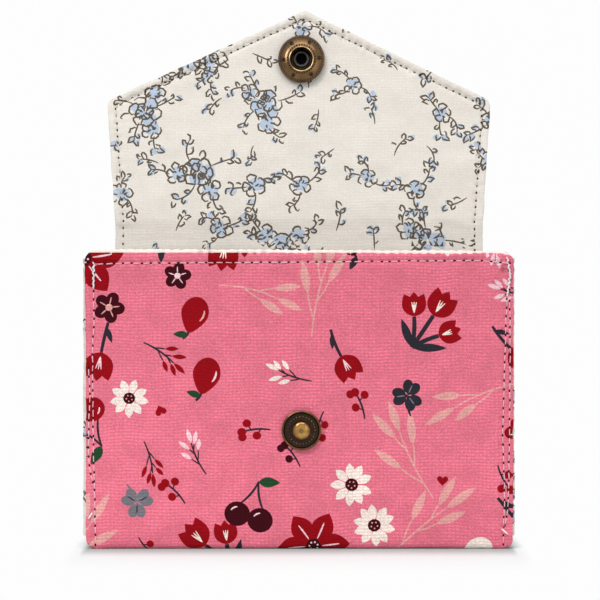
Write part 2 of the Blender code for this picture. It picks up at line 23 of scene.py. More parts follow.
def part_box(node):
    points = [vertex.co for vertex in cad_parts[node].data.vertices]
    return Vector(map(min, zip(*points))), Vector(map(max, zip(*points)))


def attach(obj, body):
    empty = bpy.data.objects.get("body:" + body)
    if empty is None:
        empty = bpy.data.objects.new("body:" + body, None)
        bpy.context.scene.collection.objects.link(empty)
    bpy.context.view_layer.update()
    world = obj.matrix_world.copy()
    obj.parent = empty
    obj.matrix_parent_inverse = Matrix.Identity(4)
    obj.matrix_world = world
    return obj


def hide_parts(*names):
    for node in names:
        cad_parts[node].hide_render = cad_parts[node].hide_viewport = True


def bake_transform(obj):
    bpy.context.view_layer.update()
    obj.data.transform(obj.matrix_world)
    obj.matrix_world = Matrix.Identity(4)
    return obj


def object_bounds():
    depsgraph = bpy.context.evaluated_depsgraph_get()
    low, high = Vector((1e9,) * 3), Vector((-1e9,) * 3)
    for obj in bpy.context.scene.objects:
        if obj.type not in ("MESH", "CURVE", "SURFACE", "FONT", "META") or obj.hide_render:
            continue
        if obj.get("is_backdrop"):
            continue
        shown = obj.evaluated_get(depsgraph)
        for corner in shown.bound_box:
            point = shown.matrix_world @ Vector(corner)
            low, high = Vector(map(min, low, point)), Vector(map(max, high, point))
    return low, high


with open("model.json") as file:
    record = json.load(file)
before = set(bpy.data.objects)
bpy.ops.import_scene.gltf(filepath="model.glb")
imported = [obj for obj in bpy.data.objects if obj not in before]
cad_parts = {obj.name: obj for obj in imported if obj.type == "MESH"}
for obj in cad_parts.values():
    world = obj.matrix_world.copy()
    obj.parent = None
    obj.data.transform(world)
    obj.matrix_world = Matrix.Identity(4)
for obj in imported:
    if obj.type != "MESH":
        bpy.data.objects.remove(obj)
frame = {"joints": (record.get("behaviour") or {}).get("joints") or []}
cad_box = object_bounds()
MM = 0.001

# %% [markdown]
# Sizes come from the boxes and joints of the solid model, turned to millimetres, because
# cloth, thread and print are all thought of in millimetres.

# %% Sizes read from the solids
joints = {joint["name"]: joint for joint in frame["joints"]}


def box_mm(node):
    return [np.array(corner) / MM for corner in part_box(node)]


front_low, front_high = box_mm("front_cover")
HALF_WIDTH = front_high[0]
TOP = front_high[2]
FACE = -front_low[1]
ROOM = -box_mm("front_lining")[1][1]
STRIP_HALF = box_mm("fold_lining")[1][0]
BACK_FOLD = np.array(joints["flap_back_fold"]["pos_m"][1:]) / MM
FRONT_FOLD = np.array(joints["flap_front_fold"]["pos_m"][1:]) / MM
print("half width", HALF_WIDTH, "top", TOP, "face", FACE, "room", ROOM)

# %% [markdown]
# The flap is a pentagon that leans back a little. These few sizes can't be read from a
# box, so they repeat the ones in the solid model.

# %% Sizes of the flap and the snap
FLAP_LEAN = radians(14)
STRIP_LEAN = radians(8)
FLAP_SHOULDER = 38.0
FLAP_SHOULDER_HALF = 55.7
FLAP_LENGTH = 66.1
FLAP_POINT_X = 1.8
FLAP_POINT_ROUND = 1.5
FLAP_SHOULDER_ROUND = 3.0
BODY_ROUND = 2.6
SNAP_X = 0.7
SOCKET_ALONG = 50.81
STUD_Z = 33.0
WALL = 2.0
STRIP_THICK = 1.25
CLOTH = 0.5
strip_up = np.array([sin(STRIP_LEAN), cos(STRIP_LEAN)])
flap_up = np.array([sin(FLAP_LEAN), cos(FLAP_LEAN)])
print("flap", FLAP_LENGTH, "mm long, with the socket", SOCKET_ALONG, "mm up it")

# %% [markdown]
# ## The camera and the light
#
# The photo was taken from straight in front, a little below the top of the front. The
# verticals stay upright, so the camera is level. A far camera with a long lens gives the
# photo's flat look: the flap, farther away, is only slightly smaller than it is.

# %% Camera
CAMERA_X = 0.3
CAMERA_Z = 69.2
CAMERA_DISTANCE = 512.0
SENSOR = 36.0
SEEN_WIDTH = 166.7
camera_data = bpy.data.cameras.new("camera")
camera = bpy.data.objects.new("camera", camera_data)
bpy.context.scene.collection.objects.link(camera)
camera.location = Vector((CAMERA_X, -FACE - CAMERA_DISTANCE, CAMERA_Z)) * MM
camera.rotation_euler = (pi / 2, 0, 0)
camera_data.sensor_width = SENSOR
camera_data.lens = SENSOR * CAMERA_DISTANCE / SEEN_WIDTH
bpy.context.scene.camera = camera
bpy.context.scene.view_settings.view_transform = "Standard"
print("lens", round(camera_data.lens, 1))

# %% [markdown]
# Every colour is written as the hex value that a picture editor shows, and one function
# turns it into the linear value that Blender works with. A second one adds a shader or
# geometry node, sets its inputs and links it, and is used for every node tree below. The
# others put objects into the scene, and start and end a material.

# %% Colour and node helpers


def colour(hex_value):
    """An sRGB hex colour as linear red, green, blue and alpha."""
    channels = []
    for shift in (16, 8, 0):
        value = (hex_value >> shift & 255) / 255
        low = value / 12.92
        channels.append(low if value <= 0.04045 else ((value + 0.055) / 1.055) ** 2.4)
    return (*channels, 1.0)


def add(tree, kind, inputs=(), **settings):
    """Adds a node. Its inputs are listed in order or named. A node's first output is linked,
    any other output is linked too, and a plain value is set."""
    node = tree.nodes.new(kind)
    for name, value in settings.items():
        setattr(node, name, value)
    for name, value in inputs.items() if isinstance(inputs, dict) else enumerate(inputs):
        if isinstance(value, bpy.types.Node):
            value = value.outputs[0]
        if isinstance(value, bpy.types.NodeSocket):
            tree.links.new(value, node.inputs[name])
        else:
            node.inputs[name].default_value = value
    return node


def new_object(name, data):
    """An object that shows this data, put into the scene."""
    made = bpy.data.objects.new(name, data)
    bpy.context.scene.collection.objects.link(made)
    return made


def new_material(name):
    """A material with an empty tree but for its output."""
    made = bpy.data.materials.new(name)
    made.use_nodes = True
    made.node_tree.nodes.clear()
    add(made.node_tree, "ShaderNodeOutputMaterial")
    return made, made.node_tree


def finish_material(made, shader):
    """Links the last shader to the output, which completes the material."""
    nodes = made.node_tree.nodes
    made.node_tree.links.new(shader.outputs[0], nodes["Material Output"].inputs["Surface"])
    print(made.name, "has", len(nodes), "nodes")
    return made


def finished(name, mesh, finish):
    """Gives a mesh its finish and smooth shading, and puts it into the scene."""
    mesh.materials.append(finish)
    mesh.shade_smooth()
    print(name, len(mesh.polygons), "faces")
    return new_object(name, mesh)


# %% [markdown]
# The room is a white paper sweep in soft light. The camera, and anything that reflects or
# looks through, sees plain white; the light itself comes from a grey world and three
# large soft lamps, kept low enough that a colour renders about as it is written.

# %% World and lamps
WORLD_LIGHT = 0.52
PAPER_WHITE = 0.985
world = bpy.data.worlds.new("studio")
bpy.context.scene.world = world
world.use_nodes = True
tree = world.node_tree
tree.nodes.clear()
rays = add(tree, "ShaderNodeLightPath")
seen = add(tree, "ShaderNodeMath", [rays.outputs["Is Camera Ray"], rays.outputs["Is Transmission Ray"]],
           operation="MAXIMUM")
seen = add(tree, "ShaderNodeMath", [seen, rays.outputs["Is Glossy Ray"]], operation="MAXIMUM")
strength = add(tree, "ShaderNodeMapRange", {"Value": seen, "To Min": WORLD_LIGHT, "To Max": PAPER_WHITE})
background = add(tree, "ShaderNodeBackground", {"Color": (1, 1, 1, 1), "Strength": strength})
add(tree, "ShaderNodeOutputWorld", {"Surface": background})


def lamp(name, place, aim, size, watts):
    data = bpy.data.lights.new(name, "AREA")
    data.shape = "RECTANGLE"
    data.size, data.size_y = size
    data.energy = watts
    made = new_object(name, data)
    made.location = place
    made.rotation_euler = (Vector(aim) - Vector(place)).to_track_quat("-Z", "Y").to_euler()
    print(name, "lamp", watts, "W")


middle = (0, 0, 0.07)
lamp("key", (-0.9, -1.05, 1.35), middle, (0.6, 0.6), 11.3)
lamp("fill", (0.7, -0.85, 0.4), middle, (0.6, 0.6), 1.0)
lamp("top", (0.0, -0.7, 1.45), middle, (1.2, 0.85), 8.8)

# %% [markdown]
# The floor is the same paper. It takes a soft shadow close to the wallet and a darker tone
# right at its foot, which is a painted contact shadow, and turns to plain white a few
# centimetres away, as in the photo. Its paper is also painted a little cool, against the pink
# light that the cloth throws on it, and painted darker farther out, as painted falloff of the
# light that it throws back.

# %% Floor
FOOT = (HALF_WIDTH * MM - 0.0015, FACE * MM - 0.001, 0)
# Painted contact shadow: a darker, slightly cool tone right at the wallet's foot.
PAINTED_CONTACT_SHADOW_TONE = colour(0xB5C0BE)
# The paper is painted a little cool, against the pink light that the cloth bounces onto it.
PAPER_TONE_AGAINST_PINK_BOUNCE = colour(0xEFF8F7)
floor_paint, tree = new_material("white_paper")
rays = add(tree, "ShaderNodeLightPath")
place = add(tree, "ShaderNodeTexCoord")
foot = add(tree, "ShaderNodeVectorMath", [place.outputs["Object"]], operation="ABSOLUTE")
foot = add(tree, "ShaderNodeVectorMath", [foot, FOOT], operation="SUBTRACT")
foot = add(tree, "ShaderNodeVectorMath", [foot, (0, 0, 0)], operation="MAXIMUM")
shade_reach = add(tree, "ShaderNodeVectorMath", [foot, (8.5, 1, 0)], operation="MULTIPLY")
shade_reach = add(tree, "ShaderNodeVectorMath", [shade_reach], operation="LENGTH")
far = add(tree, "ShaderNodeMapRange",
          {"Value": shade_reach.outputs["Value"], "From Min": 0.009, "From Max": 0.046},
          interpolation_type="SMOOTHSTEP")
not_lit = add(tree, "ShaderNodeMath", [1.0, rays.outputs["Is Diffuse Ray"]], operation="SUBTRACT")
white_share = add(tree, "ShaderNodeMath", [far, not_lit], operation="MULTIPLY")
painted_contact_shadow = add(tree, "ShaderNodeMapRange",
              {"Value": shade_reach.outputs["Value"], "From Min": 0.001, "From Max": 0.018},
              interpolation_type="SMOOTHSTEP")
painted_paper_shade = add(tree, "ShaderNodeMix", {"Factor": painted_contact_shadow, 6: PAINTED_CONTACT_SHADOW_TONE, 7: PAPER_TONE_AGAINST_PINK_BOUNCE},
                 data_type="RGBA")
# Painted falloff: the paper is painted darker farther from the wallet, which weakens the light it throws
# back.
apart = add(tree, "ShaderNodeVectorMath", [foot], operation="LENGTH")
painted_light_falloff = add(
    tree, "ShaderNodeMapRange",
    {"Value": apart.outputs["Value"], "From Min": 0.04, "From Max": 0.22, "To Min": 1.0, "To Max": 0.2},
)
painted_paper_shade = add(tree, "ShaderNodeVectorMath", {0: painted_paper_shade.outputs[2], "Scale": painted_light_falloff}, operation="SCALE")
paper = add(tree, "ShaderNodeBsdfDiffuse", {"Color": painted_paper_shade})
plain_white = add(tree, "ShaderNodeEmission", {"Color": (1, 1, 1, 1), "Strength": PAPER_WHITE})
floor_mix = add(tree, "ShaderNodeMixShader", [white_share, paper, plain_white])
finish_material(floor_paint, floor_mix)
floor_mesh = bpy.data.meshes.new("floor")
REACH = 4.0
corners = [(-REACH, -REACH, 0), (REACH, -REACH, 0), (REACH, REACH, 0), (-REACH, REACH, 0)]
floor_mesh.from_pydata(corners, [], [(0, 1, 2, 3)])
floor_mesh.materials.append(floor_paint)
floor = new_object("floor", floor_mesh)
floor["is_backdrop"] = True

# %% [markdown]
# ## Printed cotton
#
# Both cloths are quilting cotton, matt, with a faint halo of fibre ends. In the photo the
# plain weave shows as fine level ribs 0.9 mm apart, crossed by fainter upright ones. The
# single yarns are finer than a pixel, so the ribs are drawn as coarse as they show.
#
# The material reads the print from a colour attribute and the weave from the cloth's own
# UV map, in which one unit is 100 mm, so the threads follow the cloth round its folds.

# %% Cotton material
WARP_PITCH = 1.1
WEFT_PITCH = 0.89
UV_UNIT = 100.0
WANDER = (0.012, 0.018, 0)
FLAT_NOISE = {"noise_dimensions": "2D"}


def woven(tree, place):
    """The height of the weave: ribs both ways, and a bump where two yarns cross."""
    turns = (pi * UV_UNIT / WARP_PITCH, pi * UV_UNIT / WEFT_PITCH, 0)
    phase = add(tree, "ShaderNodeVectorMath", [place, turns], operation="MULTIPLY")
    wave = add(tree, "ShaderNodeVectorMath", [phase], operation="SINE")
    squared = add(tree, "ShaderNodeVectorMath", [wave, wave], operation="MULTIPLY")
    signed = add(tree, "ShaderNodeSeparateXYZ", [wave])
    ribs = add(tree, "ShaderNodeSeparateXYZ", [squared])
    over_under = add(tree, "ShaderNodeMath", [signed, signed.outputs[1]], operation="MULTIPLY")
    bumps = add(tree, "ShaderNodeMath", [over_under, 0.2, 0.45], operation="MULTIPLY_ADD")
    bumps = add(tree, "ShaderNodeMath", [ribs, 0.5, bumps], operation="MULTIPLY_ADD")
    return add(tree, "ShaderNodeMath", [ribs.outputs[1], bumps], operation="MULTIPLY")


def cotton(name, rib_groove_shade, yarn_tone, bump):
    """Plain-weave cotton. The tones say how much its uneven yarns show, and how much shade is painted into
    the grooves between its ribs.
    """
    made, tree = new_material(name)
    cloth_uv = add(tree, "ShaderNodeUVMap", uv_map="cloth")
    wander = add(tree, "ShaderNodeTexNoise", {"Vector": cloth_uv, "Scale": 7.0, "Detail": 2.0}, **FLAT_NOISE)
    bent = add(tree, "ShaderNodeVectorMath", [wander.outputs["Color"], WANDER, cloth_uv],
               operation="MULTIPLY_ADD")
    height = woven(tree, bent)

    # Yarn is uneven: each thread has its own tone, and it changes slowly along the thread.
    weft_place = add(tree, "ShaderNodeVectorMath", [bent, (50, UV_UNIT / WEFT_PITCH, 0)],
                     operation="MULTIPLY")
    weft_yarn = add(tree, "ShaderNodeTexNoise", {"Vector": weft_place, "Scale": 1.0, "Detail": 1.0},
                    **FLAT_NOISE)
    warp_place = add(tree, "ShaderNodeVectorMath", [bent, (UV_UNIT / WARP_PITCH, 14, 0)],
                     operation="MULTIPLY")
    warp_yarn = add(tree, "ShaderNodeTexNoise", {"Vector": warp_place, "Scale": 1.0, "Detail": 1.0},
                    **FLAT_NOISE)
    dye = add(tree, "ShaderNodeTexNoise", {"Vector": cloth_uv, "Scale": 14.0, "Detail": 3.0}, **FLAT_NOISE)
    # The rib height darkens the grooves between the ribs: painted shade of the weave's relief, besides its
    # bump. Dye noise makes it patchy.
    patchy = add(tree, "ShaderNodeMapRange",
                 {"Value": dye, "From Min": 0.35, "From Max": 0.65, "To Min": 0.4, "To Max": 1.15})
    shown = add(tree, "ShaderNodeMath", [height, patchy], operation="MULTIPLY")
    grain = add(tree, "ShaderNodeTexNoise", {"Vector": cloth_uv, "Scale": 250.0, "Detail": 0.0},
                **FLAT_NOISE)
    parts = [(weft_yarn, 0.7 * yarn_tone), (warp_yarn, 0.3 * yarn_tone), (shown, rib_groove_shade)]
    parts += [(dye, 0.06), (grain, 1.5 * yarn_tone)]
    tone = 0.97 - 1.25 * yarn_tone - 0.28 * rib_groove_shade
    for part, weight in parts:
        tone = add(tree, "ShaderNodeMath", [part, weight, tone], operation="MULTIPLY_ADD")
    ink = add(tree, "ShaderNodeAttribute", attribute_name="print")
    base = add(tree, "ShaderNodeVectorMath", {0: ink.outputs["Color"], "Scale": tone}, operation="SCALE")
    waves = add(tree, "ShaderNodeBump", {"Height": wander, "Strength": 0.6, "Distance": 1.6 * MM})
    relief = add(tree, "ShaderNodeBump",
                 {"Height": height, "Strength": bump, "Distance": 0.12 * MM, "Normal": waves})
    matt = {"Roughness": 0.86, "Specular IOR Level": 0.14, "Sheen Weight": 0.05, "Sheen Roughness": 0.4}
    shader = add(tree, "ShaderNodeBsdfPrincipled", {"Base Color": base, "Normal": relief, **matt})
    return finish_material(made, shader)


outer_cotton = cotton("printed_quilting_cotton", 0.34, 0.28, 0.3)
lining_cotton = cotton("sprigged_lining_cotton", 0.07, 0.1, 0.2)

# A look is a cotton, the ink of its ground, and the dark ink of its needle holes, which is painted shade
# down the holes.
OUTER = (outer_cotton, "pink", "hole_shade_dark")
LINING = (lining_cotton, "lining", "hole_shade_grey")

# %% [markdown]
# ## Drawing the prints
#
# A print is a list of closed outlines, each with a colour, drawn in order. A point is a
# complex number here, x plus i times y, because turning a motif is then one
# multiplication. Four small helpers draw every motif: an oval, a petal, a curved line,
# and a brush stroke, which is a line with a width that tapers.

# %% Drawing helpers
INKS = {
    "pink": 0xE5758A,
    "lining": 0xE6DFD6,
    # A paler cream for the top of the front lining's rolled edge: a painted highlight where light falls on
    # it.
    "edge": 0xFBF5EC,
    "crimson": 0x94000F,
    "maroon": 0x3A000C,
    "cream": 0xF3E3D9,
    "blush": 0xF3C9D2,
    "green": 0x1F4427,
    "charcoal": 0x2A2730,
    "grey": 0x75727A,
    "peach": 0xE2A09C,
    "blue": 0xB8C6D8,
    "line": 0x5F5448,
    # The needle-hole inks are painted shade, for the dark down each hole.
    "hole_shade_dark": 0x4A0E20,
    "hole_shade_grey": 0x3E362F,
}
INK_NAMES = list(INKS)
print(len(INKS), "inks:", ", ".join(INK_NAMES))


def unit(turn):
    """The direction at an angle, as a complex number of length 1."""
    return np.exp(1j * turn)


def spokes(count, start=0.0):
    """The angles of evenly spread spokes."""
    return start + tau * np.arange(count) / count


def oval(centre, wide, high, turn=0.0, count=20):
    angles = spokes(count)
    return centre + (wide * np.cos(angles) + 1j * high * np.sin(angles)) * unit(turn)


def petal(base, length, width, turn, fullness=0.8, count=9):
    """A leaf or petal from its base outwards. A low fullness gives a blunter tip."""
    along = np.linspace(0, 1, count)
    half = width / 2 * np.sin(pi * along**fullness) ** 0.9
    upper = along * length + 1j * half
    lower = along * length - 1j * half
    return base + np.concatenate([lower[:-1], upper[:0:-1]]) * unit(turn)


def line(start, length, turn, bend=0.0, count=7):
    """Points along a line that starts at a heading and bends evenly."""
    headings = turn + bend * (np.arange(count - 1) + 0.5) / (count - 1)
    steps = unit(headings) * length / (count - 1)
    return start + np.concatenate([[0], np.cumsum(steps)])


def stroke(points, width, tip=0.4):
    """A brush stroke along points, full in the middle and tip times as wide at its ends."""
    along = np.linspace(0, 1, len(points))
    half = width / 2 * (tip + (1 - tip) * np.sin(pi * along) ** 0.7)
    way = np.gradient(points)
    side = 1j * way / np.abs(way) * half
    return np.concatenate([points - side, (points + side)[::-1]])


# %% [markdown]
# The outer print is scattered fruit, flowers and leaves in a few flat colours. Each motif
# is a function that draws it round the origin, and the random generator that it is given
# makes each one a little different.

# %% Fruit of the outer print


def cherries(rng):
    fruit = rng.choice(["crimson", "maroon"])
    shapes = []
    for side in (-1, 1):
        hang = line(0.4j, 6.2, -pi / 2 + side * 0.15, side * 0.55)
        shapes.append((stroke(hang, 0.5, 0.7), "charcoal"))
        centre = hang[-1] - 2.3j
        shapes.append((oval(centre, 2.75, 2.6), fruit))
        shapes.append((stroke(line(centre - 1.5 + 0.4j, 1.6, 1.2, -0.9), 0.36), "blush"))
    shapes.append((petal(0.3j, 4.6, 2.2, rng.uniform(0.1, 0.5)), "green"))
    return shapes


def pear(rng):
    skin, mark = rng.choice(
        [("cream", "crimson"), ("crimson", "blush"), ("crimson", "peach"), ("maroon", "peach")]
    )
    angles = spokes(28)
    wide = 2.8 - 1.25 * np.sin(angles).clip(0) ** 1.3
    body = wide * np.cos(angles) + 1j * (3.5 * np.sin(angles) + 0.5 * np.sin(angles).clip(0))
    shapes = [(stroke(line(3.5j, 2.2, pi / 2, -0.7), 0.55, 0.8), "charcoal")]
    shapes.append((petal(4.4j, 3.0, 1.4, rng.uniform(-0.1, 0.5)), rng.choice(["green", "charcoal"])))
    shapes.append((body, skin))
    shapes.append((stroke(line(-1.7 - 1.2j, 2.4, 1.9, -0.9), 0.42), mark))
    return shapes


def berry_twig(rng):
    stem = line(-3.2, 6.4, -0.2, 0.5)
    berry = rng.choice(["crimson", "crimson", "maroon"])
    shapes = [(stroke(stem, 0.45, 0.7), "charcoal")]
    for i, side in ((2, 1), (4, -1), (5, 1)):
        tip = line(stem[i], 1.7, side * 1.0, 0.0, 3)
        shapes.append((stroke(tip, 0.32, 0.8), "charcoal"))
        shapes.append((oval(tip[-1], 0.95, 0.9, count=14), berry))
    shapes.append((oval(stem[-1], 1.0, 0.95, count=14), berry))
    return shapes


# %% [markdown]
# Tulips share one cup of petals, which stands on a stem by itself or in a bunch of three.

# %% Tulips


def cup(base, heading, size, ink, vein):
    """A tulip's cup of three petals with short veins."""
    way = unit(heading)
    shapes = [(petal(base, 6.6 * size, 3.8 * size, heading + turn, 0.9), ink) for turn in (0.42, -0.42, 0.0)]
    shapes += [(stroke(line(base + size * way, 2.9 * size, heading + turn), 0.3), vein)
               for turn in (0.22, 0.0, -0.22)]
    return shapes


def tulip(rng):
    ink = rng.choice(["crimson", "crimson", "crimson", "cream"])
    stem = line(-1j, 7.4, -pi / 2, rng.uniform(-0.35, 0.35))
    shapes = [(stroke(stem, 0.75, 0.85), "charcoal")]
    shapes.append((petal(stem[-2], 3.6, 1.2, pi / 2 - rng.choice([-1, 1]) * 0.5), "charcoal"))
    return shapes + cup(-1.6j, pi / 2, 1.0, ink, "blush" if ink == "crimson" else "crimson")


def bunch(rng):
    """Three tulips whose stout dark stems meet, between two long leaves."""
    shapes = []
    for turn in (0.95, -1.0):
        shapes.append((petal(-8j, rng.uniform(6.5, 8.0), 1.9, pi / 2 + turn, 0.9), "charcoal"))
    for turn, reach, size in ((0.55, 7.0, 0.85), (-0.6, 6.6, 0.8), (0.0, 8.6, 1.0)):
        stem = line(-8j, reach, pi / 2 + 0.7 * turn, 0.5 * turn)
        shapes.append((stroke(stem, 1.0, 0.9), "charcoal"))
        shapes += cup(stem[-1], pi / 2 + 1.1 * turn, size, "crimson", "cream")
    return shapes


# %% [markdown]
# Open flowers are rings of petals round a dark heart.

# %% Open flowers


def daisy(rng):
    turns = [turn + rng.uniform(-0.08, 0.08) for turn in spokes(rng.choice([8, 9, 10]))]
    shapes = [(petal(0.6 * unit(turn), 3.5, 1.7, turn, 1.25), "cream") for turn in turns]
    shapes.append((oval(0, 1.25, 1.2), "maroon"))
    return shapes + [(oval(0.62 * unit(turn), 0.16, 0.16, count=7), "peach") for turn in spokes(5)]


def blossom(rng):
    ink, dot = rng.choice([("maroon", "peach"), ("maroon", "blush"), ("crimson", "cream")])
    shapes = [(oval(1.75 * unit(turn), 1.6, 1.35, turn), ink) for turn in spokes(5)]
    shapes += [(stroke(line(0.7 * unit(turn), 1.5, turn), 0.26), dot) for turn in spokes(5, 0.2)]
    return shapes + [(oval(0, 0.75, 0.75, count=12), dot)]


def large_flower(_):
    """Six pointed petals in a flat colour, each with a pale vein."""
    shapes = [(petal(0.6 * unit(turn), 6.6, 4.4, turn, 1.05, 11), "crimson") for turn in spokes(6)]
    shapes += [(stroke(line(1.7 * unit(turn), 3.4, turn, 0.1), 0.34), "blush") for turn in spokes(6)]
    shapes.append((oval(0, 1.5, 1.45), "maroon"))
    return shapes + [(oval(0.85 * unit(turn), 0.2, 0.2, count=7), "blush") for turn in spokes(7)]


# %% [markdown]
# Leaves, buds and hearts fill the gaps between the larger motifs.

# %% Leaves, buds and hearts


def frond(rng):
    """A thin bent stalk that forks into three or four slender leaves, each clear of the next."""
    bend = rng.choice([-1, 1]) * rng.uniform(0.2, 0.5)
    length = rng.uniform(15, 18)
    stem = line(-length * 0.7, length, -bend / 2, bend, 13)
    way = np.angle(np.gradient(stem))
    shapes = [(stroke(stem, 0.4, 0.7), "peach")]
    two_forks = [((4, 1, 5.5), (7, -1, 4.2)), ((5, -1, 5.0), (8, 1, 4.0))]
    three_forks = ((3, 1, 6.0), (6, -1, 5.0), (9, 1, 3.6))
    for i, side, reach in rng.choice([*two_forks, three_forks]):
        turn = way[i] + side * rng.uniform(0.5, 0.62)
        stalk = line(stem[i], reach, turn, -side * 0.3, 6)
        shapes.append((stroke(stalk, 0.38, 0.9), "peach"))
        shapes.append((petal(stalk[-1], rng.uniform(6.6, 8.2), 2.0, turn - side * 0.2, 0.9, 11), "peach"))
    shapes.append((petal(stem[-1], rng.uniform(7.0, 8.6), 2.0, way[-1], 0.9, 11), "peach"))
    return shapes


def clover(rng):
    ink, vein = rng.choice([("charcoal", "grey"), ("charcoal", "grey"), ("grey", "charcoal")])
    shapes = [(stroke(line(0, 3.8, -pi / 2 + 0.3, 0.5), 0.42, 0.8), ink)]
    for turn in spokes(3, pi / 2):
        for side in (-1, 1):
            shapes.append((oval((1.55 + 0.6j * side) * unit(turn), 1.25, 0.95, turn + 0.4 * side), ink))
        shapes.append((petal(0, 2.1, 1.3, turn, 1.0), ink))
        shapes.append((stroke(line(0.5 * unit(turn), 1.5, turn), 0.24), vein))
    return shapes


def bud_sprig(rng):
    """A forked dark twig with a long closed bud at the end of every fork."""
    bud = rng.choice(["cream", "blush", "blush", "crimson"])
    stem = line(-5.5, 9.0, 0.2, -0.4, 10)
    shapes = [(stroke(stem, 0.46, 0.7), "charcoal")]
    for i, side, reach in ((3, 1, 2.6), (4, -1, 2.8), (6, 1, 1.8), (7, -1, 1.6)):
        turn = side * rng.uniform(0.5, 0.65)
        fork = line(stem[i], reach, turn, -side * 0.2, 5)
        shapes.append((stroke(fork, 0.36, 0.8), "charcoal"))
        shapes.append((petal(fork[-1], rng.uniform(3.0, 3.8), 1.15, turn, 1.0), bud))
    shapes.append((petal(stem[-1], 3.8, 1.2, -0.15, 1.0), bud))
    return shapes


def heart(rng):
    ink = rng.choice(["crimson", "crimson", "cream"])
    angles = spokes(22)
    wide = 16 * np.sin(angles) ** 3
    high = 13 * np.cos(angles) - 5 * np.cos(2 * angles) - 2 * np.cos(3 * angles) - np.cos(4 * angles)
    return [((wide + 1j * high) * 0.085, ink)]


# %% [markdown]
# A tossed print has no up or down: motifs lie at any angle with even gaps. Each new motif
# tries many spots and takes the one that is farthest from all earlier ones, which spreads
# them evenly. The random generator has a fixed seed, so every run gives the same cloth.

# %% The scattering
SPOTS_TRIED = 40


def tossed(kinds, region, seed):
    """Spreads motifs over a region. Each kind has its room in mm, copies in a deck, and size."""
    rng = random.Random(seed)
    low, high = region
    deck, placed, shapes = [], [], []
    misses = 0
    while misses < 60:
        if not deck:
            deck = [(kind, room, size) for kind, room, copies, size in kinds for _ in range(copies)]
            rng.shuffle(deck)
        kind, room, size = deck.pop()
        spots = [complex(rng.uniform(low.real, high.real), rng.uniform(low.imag, high.imag))
                 for _ in range(SPOTS_TRIED)]
        gaps = [min((abs(spot - other) - taken for other, taken in placed), default=room) - room
                for spot in spots]
        best = max(range(SPOTS_TRIED), key=gaps.__getitem__)
        if gaps[best] < 0:
            misses += 1
            continue
        placed.append((spots[best], room))
        turn = size * rng.uniform(0.93, 1.07) * unit(rng.uniform(0, tau))
        shapes += [(spots[best] + points * turn, ink) for points, ink in kind(rng)]
    print(len(placed), "motifs in", len(shapes), "outlines")
    return shapes


# %% Scatter the outer print's motifs
OUTER_REACH = 62.0
OUTER_BACK = -168.0
OUTER_FRONT = 94.0
outer_kinds = [
    (frond, 8.0, 6, 1.15),
    (large_flower, 9.8, 1, 1.5),
    (bunch, 10.2, 2, 1.25),
    (tulip, 7.2, 1, 1.2),
    (cherries, 6.4, 2, 1.25),
    (pear, 6.0, 3, 1.3),
    (daisy, 6.0, 2, 1.4),
    (blossom, 5.0, 1, 1.25),
    (bud_sprig, 6.6, 3, 1.1),
    (clover, 5.2, 1, 1.45),
    (berry_twig, 4.6, 2, 1.2),
    (heart, 3.2, 1, 1.2),
]
outer_region = (complex(-OUTER_REACH, OUTER_BACK), complex(OUTER_REACH, OUTER_FRONT))
outer_print = tossed(outer_kinds, outer_region, 32)

# %% [markdown]
# The lining print is small blue blossoms drawn in a brown-grey line, in loose clusters.
# On such cloth the blue is printed apart from the line and sits a little off it, so each
# fill is shifted, and the lines are broken strokes of uneven width.

# %% Lines and dabs of the lining print
LINE_WIDTH = 0.52
BLUE_SHIFT = 0.34 - 0.28j


def drawn(points, width=LINE_WIDTH):
    return (stroke(points, width, 0.5), "line")


def dab(centre, size, rng):
    """An uneven patch of blue, printed a little off its drawing."""
    angles = spokes(11)
    lumps = 1 + 0.14 * np.sin(2 * angles + rng.uniform(0, 6))
    lumps = lumps + 0.12 * np.sin(3 * angles + rng.uniform(0, 6))
    return (centre + BLUE_SHIFT + size * lumps * unit(angles), "blue")


def open_petal(base, length, width, turn, rng, fullness=1.4):
    """A petal or leaf drawn as one unsteady line that doesn't quite close."""
    edge = petal(base, length, width, turn, fullness, 6)
    shake = np.array([complex(rng.gauss(0, 1), rng.gauss(0, 1)) for _ in edge])
    start, end = rng.choice([0, 0, 1, 2]), len(edge) - rng.choice([0, 1, 1, 3])
    return drawn((edge + 0.04 * length * shake)[start:end])


def heart_of(centre, size, rng, strokes):
    shapes = []
    for _ in range(strokes):
        turn = rng.uniform(0, tau)
        start = centre + size * rng.uniform(0.0, 0.35) * unit(turn)
        shapes.append(
            drawn(line(start, size * rng.uniform(0.3, 0.55), turn + rng.uniform(-0.5, 0.5), 1.2, 5), 0.5)
        )
    return shapes


# %% [markdown]
# Twigs, small flowers and full blooms are drawn with these lines, and none closes quite.

# %% Twigs and flowers of the lining print


def small_twig(start, turn, length, rng):
    """A thin stem with small open leaves, some of them touched with blue."""
    stem = line(start, length, turn, rng.uniform(-1.3, 1.3))
    way = np.angle(np.gradient(stem))
    side = rng.choice([-1, 1])
    shapes = []
    for i in (2, 4, 5, 6):
        side = -side
        leaf = rng.uniform(1.5, 2.5)
        heading = way[i] + side * rng.uniform(0.5, 1.0)
        if rng.random() < 0.45:
            shapes.append(dab(stem[i] + 0.6 * leaf * unit(heading), 0.36 * leaf, rng))
        shapes.append(open_petal(stem[i], leaf, 0.5 * leaf, heading, rng, 0.9))
    shapes.append(drawn(stem, 0.42))
    return shapes


